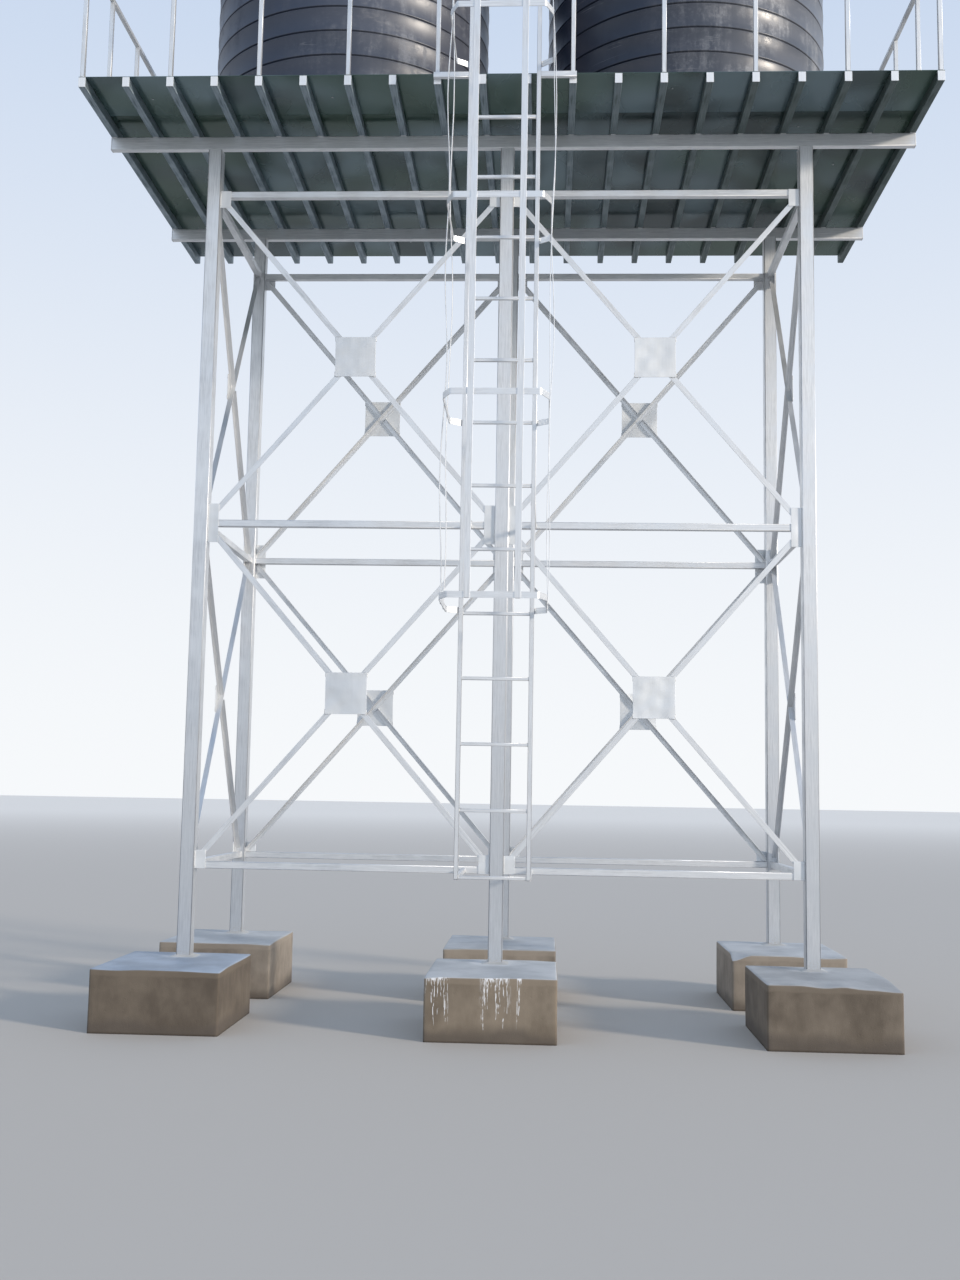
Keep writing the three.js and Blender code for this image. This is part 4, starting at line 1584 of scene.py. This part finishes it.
@dataclass
class GuardRail:
    """Posts on the deck's edge with one top rail, open at the ladder."""

    effects: Effects
    tube: float = 0.03
    corner_radius: float = 0.003
    bead_radius: float = 0.003
    post_joists: tuple[int, ...] = (0, 2, 4, 6, 8, 11, 13, 15, 17, 19)
    gate: tuple[int, int] = (8, 11)
    side_posts: tuple[float, ...] = (0.58, 1.21, 2.01, 2.64)  # from the front corner post

    def build(self) -> None:
        """Makes the rail as one welded piece."""
        low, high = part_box("guard_rail")
        half = self.tube / 2
        self.low, self.high = low, high
        self.piece = Workpiece("guard_rail_tubes", SILVER, FRAME_WELD)
        left, right, front, back = low.x + half, high.x - half, low.y + half, high.y - half
        spots = [min(max(self._joist_middle(number), left), right) for number in self.post_joists]
        for x in spots:
            self._post(x, front)
            self._post(x, back)
        for spot in self.side_posts:
            self._post(left, front + spot)
            self._post(right, front + spot)
        gate = [self._joist_middle(number) for number in self.gate]
        self._rail((left - half, front), (gate[0] + half, front))
        self._rail((gate[1] - half, front), (right + half, front))
        self._rail((left - half, back), (right + half, back))
        self._rail((left, front + half), (left, back - half))
        self._rail((right, front + half), (right, back - half))
        self.piece.finished(Slot.STEEL, self.effects, "guard_rail")

    @staticmethod
    def _joist_middle(number: int) -> float:
        """The middle of a joist, counted from 0 at the left."""
        low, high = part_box(f"joist_{number + 1:02d}")
        return (low.x + high.x) / 2

    def _post(self, x: float, y: float) -> None:
        """One post under the rail, welded at its foot.

        Args:
            x: The post's place along the deck.
            y: Its place from front to back.
        """
        half = self.tube / 2
        low = Vector((x - half, y - half, self.low.z))
        high = Vector((x + half, y + half, self.high.z - self.tube))
        self.piece.block(low, high, Grain.Z, self.corner_radius)
        inset = Vector((0.001, 0.001, 0.0))
        foot = Vector((0, 0, self.bead_radius / 2))
        self.piece.bead_round(low + inset + foot, high - inset, Grain.Z, self.bead_radius, False)

    def _rail(self, start: tuple[float, float], stop: tuple[float, float]) -> None:
        """One straight length of the top rail.

        Args:
            start: One end of its middle line, in plan.
            stop: The other end.
        """
        half = self.tube / 2
        along_x = start[1] == stop[1]
        grow = Vector((0, half, 0)) if along_x else Vector((half, 0, 0))
        low = Vector((*start, self.high.z - self.tube)) - grow
        high = Vector((*stop, self.high.z)) + grow
        self.piece.block(low, high, Grain.X if along_x else Grain.Y, self.corner_radius)


@dataclass
class Ladder:
    """Two stringers with rungs, held to the joist ends and to the girts."""

    effects: Effects
    tube: float = 0.03
    corner_radius: float = 0.003
    width: float = 0.5
    rung: float = 0.022
    rung_pitch: float = 0.431
    rung_count: int = 13
    deck_bar: float = 0.04
    bracket: float = 0.03
    girts: tuple[float, ...] = (0.0, 2.47)  # above the lowest rung
    bead_radius: float = 0.0025

    def build(self) -> None:
        """Makes the ladder as one welded piece."""
        low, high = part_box("ladder")
        deck_low, deck_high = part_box("deck_plate")
        front = deck_low.y
        outer = self.width / 2
        lowest = low.z + self.rung / 2
        piece = Workpiece("ladder_tubes", SILVER, FRAME_WELD)
        middle = front - self.tube / 2
        inner = outer - self.tube
        for number in range(self.rung_count):
            level = lowest + number * self.rung_pitch
            start = Vector((-inner, middle - self.rung / 2, level - self.rung / 2))
            stop = Vector((inner, middle + self.rung / 2, level + self.rung / 2))
            piece.block(start, stop, Grain.X, self.corner_radius)
            piece.bead_ends(start, stop, Grain.X, self.bead_radius)
        for side in (-1, 1):
            edges = sorted((side * inner, side * outer))
            piece.block((edges[0], front - self.tube, low.z), (edges[1], front, high.z), Grain.Z,
                        self.corner_radius)
            reach = sorted((side * outer, side * high.x))
            piece.block((reach[0], front - self.tube, deck_high.z - self.deck_bar),
                        (reach[1], front, deck_high.z), Grain.X, self.corner_radius)
            edges = sorted((side * (outer - self.bracket), side * outer))
            for girt in self.girts:
                level = lowest + girt
                start = Vector((edges[0], front, level - self.bracket / 2))
                stop = Vector((edges[1], high.y, level + self.bracket / 2))
                piece.block(start, stop, Grain.Y, self.corner_radius)
                piece.bead_ends(start, stop, Grain.Y, self.bead_radius)
        piece.finished(Slot.STEEL, self.effects, "ladder")


@dataclass
class SafetyCage:
    """Bent flat-bar hoops with six upright straps outside them."""

    effects: Effects
    bar: float = 0.04
    thickness: float = 0.005
    tab: float = 0.06
    chamfer: float = 0.11
    front_half_width: float = 0.285
    hoop_pitch: float = 1.27
    hoop_count: int = 4
    bend: float = 0.012
    front_strap: float = 0.155
    side_straps: tuple[float, ...] = (0.23, 0.47)  # from the deck's front edge
    stringer: float = 0.03
    ladder_half_width: float = 0.25
    front_bow: float = 0.004  # about twice what a front strap wanders between hoops
    side_bow: float = 0.045  # the same for the side straps, which are thin this way
    bow_steps: int = 48  # cuts along a strap
    strap_radius: float = 0.001
    bead_radius: float = 0.003

    def build(self) -> None:
        """Makes the cage as one welded piece."""
        low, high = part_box("ladder_cage")
        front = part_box("deck_plate")[0].y
        levels = [low.z + number * self.hoop_pitch for number in range(self.hoop_count)]
        levels.append(high.z - self.bar)
        side = high.x - self.thickness
        start = front - self.stringer / 3
        half = [(self.ladder_half_width, start), (side, start - self.tab),
                (side, low.y + self.thickness + self.chamfer),
                (self.front_half_width, low.y + self.thickness)]
        plan = [(-x, y) for x, y in half] + half[::-1]
        piece = Workpiece("ladder_cage_bars", SILVER, FRAME_WELD)
        for level in levels:
            piece.strip([Vector((x, y, level)) for x, y in plan], self.bar, self.thickness, self.bend)
        for sign in (-1, 1):
            self._strap(piece, Vector((sign * self.front_strap, low.y + self.thickness / 2, 0)),
                        levels, high.z, False)
            for spot in self.side_straps:
                self._strap(piece, Vector((sign * (side + self.thickness / 2), front - spot, 0)),
                            levels, high.z, True)
        piece.finished(Slot.STEEL, self.effects, "ladder_cage")

    def _strap(self, piece: Workpiece, place: Vector, levels: Sequence[float], top: float,
               on_side: bool) -> None:
        """One upright flat bar, bowed a little between the hoops that it is welded to.

        Args:
            piece: The cage in the making.
            place: The bar's middle line in plan.
            levels: Lower edges of the hoops.
            top: The strap's upper end.
            on_side: Turns the bar's flat to the side, and otherwise to the front.
        """
        wide, thin = self.bar, self.thickness
        spans = (thin, wide) if on_side else (wide, thin)
        part = bmesh.new()
        length = top - levels[0]
        bmesh.ops.create_cube(part, size=1.0, matrix=Matrix.Diagonal((*spans, length, 1.0)))
        round_off(part, [edge for edge in part.edges if runs_along(edge)], self.strap_radius, 1)
        upright = [edge for edge in part.edges if runs_along(edge)]
        bmesh.ops.subdivide_edges(part, edges=upright, cuts=self.bow_steps)
        centre = Vector((place.x, place.y, levels[0] + length / 2))
        bmesh.ops.translate(part, verts=part.verts, vec=centre)
        hoops = [level + self.bar / 2 for level in levels]
        bow = self.side_bow if on_side else self.front_bow
        for vert in part.verts:
            bays = sum(min(max((vert.co.z - low) / (high - low), 0.0), 1.0)
                       for low, high in zip(hoops, hoops[1:]))
            wander = noise.noise(Vector((place.x * 9, place.y * 9, bays * 0.9)))
            vert.co.x -= bow * wander * math.sin(math.pi * bays)
        piece.take(part, Matrix.Translation(centre))
        if on_side:
            inner = (place.x - math.copysign(thin / 2, place.x), place.y)
            reach = Vector((0, wide * 0.4, 0))
        else:
            inner = (place.x, place.y + thin / 2)
            reach = Vector((wide * 0.4, 0, 0))
        for level in levels:
            for edge in (level, level + self.bar):
                spot = Vector((*inner, edge))
                piece.bead(spot - reach, spot + reach, self.bead_radius)


@dataclass
class Tank:
    """One round tank: ribbed wall with a floor, fluted dome, and a screwed lid."""

    effects: Effects
    side: str
    rib_pitch: float = 0.19
    rib_first: float = 0.066
    rib_count: int = 13
    groove_depth: float = 0.010
    groove_half_height: float = 0.0085
    groove_shape: tuple[tuple[float, float], ...] = (  # up from its middle in half heights, and out
        (0.25, -0.92), (0.55, -0.45), (0.8, 0.45), (1.1, 1.0), (1.6, 0.8), (2.4, 0.0))
    lip: float = 0.003  # how far the plastic stands out beside a groove
    wall: float = 0.012
    wall_height: float = 2.4
    steps: int = 160
    dome_parts: int = 3  # stretches between two points of the dome
    dome: tuple[tuple[float, float], ...] = (
        (1.096, 0.0), (1.094, 0.022), (1.084, 0.05), (1.058, 0.083), (1.02, 0.11), (0.97, 0.138),
        (0.90, 0.165), (0.80, 0.197), (0.70, 0.228), (0.59, 0.257), (0.48, 0.284), (0.38, 0.304),
        (0.315, 0.314), (0.303, 0.322), (0.30, 0.335))
    neck_top: float = 0.39
    lid_steps: int = 96
    lid_gap: float = 0.0015  # between the neck and the lid
    grips: int = 24
    grip_depth: float = 0.006
    grip_width: float = 0.02
    flutes: Fluting = Fluting(number=16, depth=0.02, inner=0.42, outer=0.98)

    def build(self) -> None:
        """Makes the wall, the dome and the lid."""
        low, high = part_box(f"tank_{self.side}_shell")
        self.centre = Vector(((low.x + high.x) / 2, (low.y + high.y) / 2, low.z))
        self.radius = (high.x - low.x) / 2
        self._wall()
        self._dome()
        self._lid()

    def _wall(self) -> None:
        """The ribbed wall, its floor and the open rim."""
        node = f"tank_{self.side}_shell"
        piece = Workpiece(f"tank_{self.side}_wall", BLACK[self.side])
        base = self.radius - self.lip
        outline = [(0.0, 0.0), (base - self.groove_depth, 0.0), (base - 0.003, 0.004), (base, 0.014)]
        for number in range(self.rib_count):
            outline += self._groove(base, self.rib_first + number * self.rib_pitch)
        inner = base - self.groove_depth - self.wall
        outline += [(base, self.wall_height), (inner, self.wall_height), (inner, self.wall),
                    (0.0, self.wall)]
        piece.turned(outline, self.centre, self.steps)
        piece.finished(Slot.PLASTIC, self.effects, node)

    def _groove(self, base: float, height: float) -> list[tuple[float, float]]:
        """A rounded groove with a raised lip above and below it."""
        below = [(-up, out) for up, out in reversed(self.groove_shape)]
        return [(base + out * (self.lip if out > 0 else self.groove_depth),
                 height + up * self.groove_half_height)
                for up, out in (*below, (0.0, -1.0), *self.groove_shape)]

    def _dome(self) -> None:
        """The domed roof with its flutes and neck."""
        node = f"tank_{self.side}_roof"
        piece = Workpiece(f"tank_{self.side}_dome", BLACK[self.side])
        outer = [*self.dome, (self.dome[-1][0], self.neck_top)]
        inner = [(radius - self.wall, height - self.wall * (0 < number < len(self.dome) - 3))
                 for number, (radius, height) in enumerate(outer)]
        outer = [*curve_through(self.dome, self.dome_parts), outer[-1]]
        rim = Vector((self.centre.x, self.centre.y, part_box(node)[0].z))
        piece.turned([*outer, *inner[::-1], outer[0]], rim, self.steps * 2, self.flutes)
        piece.finished(Slot.PLASTIC, self.effects, node)

    def _lid(self) -> None:
        """The lid, with grips round its skirt."""
        node = f"tank_{self.side}_lid"
        low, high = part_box(node)
        piece = Workpiece(f"tank_{self.side}_screw_lid", BLACK[self.side])
        reach = (high.x - low.x) / 2
        skirt = high.z - low.z
        bore = self.dome[-1][0] + self.lid_gap
        under = self.neck_top - (low.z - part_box(f"tank_{self.side}_roof")[0].z)
        outline = [(0.0, under), (bore, under), (bore, 0.0), (reach - 0.003, 0.0), (reach, 0.004),
                   (reach, under + 0.008), (reach - 0.005, under + 0.016), (reach - 0.02, under + 0.021),
                   (reach * 0.86, under + 0.024), (reach * 0.80, under + 0.031),
                   (reach * 0.5, skirt - 0.005), (reach * 0.2, skirt - 0.001), (0.0, skirt)]
        place = Vector((self.centre.x, self.centre.y, low.z))
        piece.turned(outline, place, self.lid_steps)
        spans = (self.grip_depth, self.grip_width, under - 0.006)
        for number in range(self.grips):
            turn = Matrix.Translation(place) @ Matrix.Rotation(number * math.tau / self.grips, 4, "Z")
            axes = turn @ Matrix.Translation((reach - self.grip_depth / 2, 0.0, (under + 0.004) / 2))
            piece.bar(axes, spans, 0.002)
        piece.finished(Slot.PLASTIC, self.effects, node)


@dataclass
class Studio:
    """The pale floor, the soft light and the camera."""

    effects: Effects
    eye: Vector = Vector((0.3398, -10.2728, 1.5996))
    yaw: float = math.radians(2.8243)  # turned towards -X
    pitch: float = math.radians(6.3478)
    roll: float = math.radians(1.0042)
    lens: float = 38.716
    sensor: float = 36.0
    floor_size: float = 400.0
    key_azimuth: float = math.radians(60)
    key_elevation: float = math.radians(16)
    key_spread: float = math.radians(7)
    key_power: float = 3.0
    key_tone: Colour = (1.0, 0.90, 0.78)
    sky_tone: Colour = (0.46, 0.61, 0.86)
    haze_tone: Colour = (0.96, 1.02, 1.08)
    glow_tone: Colour = (0.98, 1.0, 1.02)
    sky_strength: float = 0.95

    def build(self) -> None:
        """Sets the floor, the lights and the camera."""
        self._floor()
        self._key()
        self._sky()
        self._camera()
        bpy.context.scene.view_settings.view_transform = "Standard"

    def _floor(self) -> None:
        """A wide pale floor at the foot of the pads."""
        part = bmesh.new()
        bmesh.ops.create_grid(part, x_segments=1, y_segments=1, size=self.floor_size / 2)
        mesh = bpy.data.meshes.new("floor")
        part.to_mesh(mesh)
        part.free()
        mesh.materials.append(FloorPaint("pale_floor").material(self.effects))
        floor = put("floor", mesh)

    def _key(self) -> None:
        """One warm light with soft edges, in front on the right."""
        light = bpy.data.lights.new("key", "SUN")
        light.angle = self.key_spread
        light.energy = self.key_power
        light.color = self.key_tone
        level = math.cos(self.key_elevation)
        way = Vector((math.sin(self.key_azimuth) * level, -math.cos(self.key_azimuth) * level,
                      math.sin(self.key_elevation)))
        put("key", light).rotation_euler = way.to_track_quat("Z", "Y").to_euler()

    def _sky(self) -> None:
        """A soft even surround, a little deeper overhead."""
        world = bpy.data.worlds.new("studio")
        bpy.context.scene.world = world
        world.use_nodes = True
        wiring = Wiring(world.node_tree)
        place = wiring.add("ShaderNodeTexCoord").outputs["Generated"]
        way = wiring.axes(place)
        low = wiring.blend(wiring.spread(way["Y"], -0.3, 0.6), self.haze_tone, self.glow_tone)
        tone = wiring.blend(wiring.spread(way["Z"], -0.05, 0.85), low, self.sky_tone)
        shade = wiring.add("ShaderNodeBackground", {"Color": tone, "Strength": self.sky_strength})
        output = wiring.add("ShaderNodeOutputWorld")
        wiring.join(shade.outputs[0], output.inputs["Surface"])

    def _camera(self) -> None:
        """The camera, low in front of the tower."""
        ahead = Vector((-math.sin(self.yaw), math.cos(self.yaw), 0.0))
        right = Vector((math.cos(self.yaw), math.sin(self.yaw), 0.0))
        aim = ahead * math.cos(self.pitch) + UP * math.sin(self.pitch)
        upright = UP * math.cos(self.pitch) - ahead * math.sin(self.pitch)
        across = right * math.cos(self.roll) + upright * math.sin(self.roll)
        above = upright * math.cos(self.roll) - right * math.sin(self.roll)
        data = bpy.data.cameras.new("camera")
        data.lens = self.lens
        data.sensor_width = self.sensor
        data.clip_end = self.floor_size
        camera = put("camera", data)
        turn = Matrix((across, above, -aim)).transposed().to_4x4()
        camera.matrix_world = Matrix.Translation(self.eye) @ turn
        bpy.context.scene.camera = camera


def main() -> None:
    """Builds the studio and the tower, sub-assembly by sub-assembly."""
    logging.basicConfig(level=logging.INFO, format="%(name)s %(message)s")
    effects = Effects()
    Studio(effects).build()
    Footings(effects).build()
    Columns(effects).build()
    for side in ("left", "right"):
        BracedSide(effects, f"bracing_front_{side}", 0.0, centre_plate=0.30).build()
        BracedSide(effects, f"bracing_back_{side}", math.pi, centre_plate=0.30).build()
    BracedSide(effects, "bracing_left_side", -math.pi / 2, centre_plate=0.20).build()
    BracedSide(effects, "bracing_right_side", math.pi / 2, centre_plate=0.20).build()
    Deck(effects).build()
    GuardRail(effects).build()
    Ladder(effects).build()
    SafetyCage(effects).build()
    for side in ("left", "right"):
        Tank(effects, side).build()


if __name__ == "__main__":
    main()
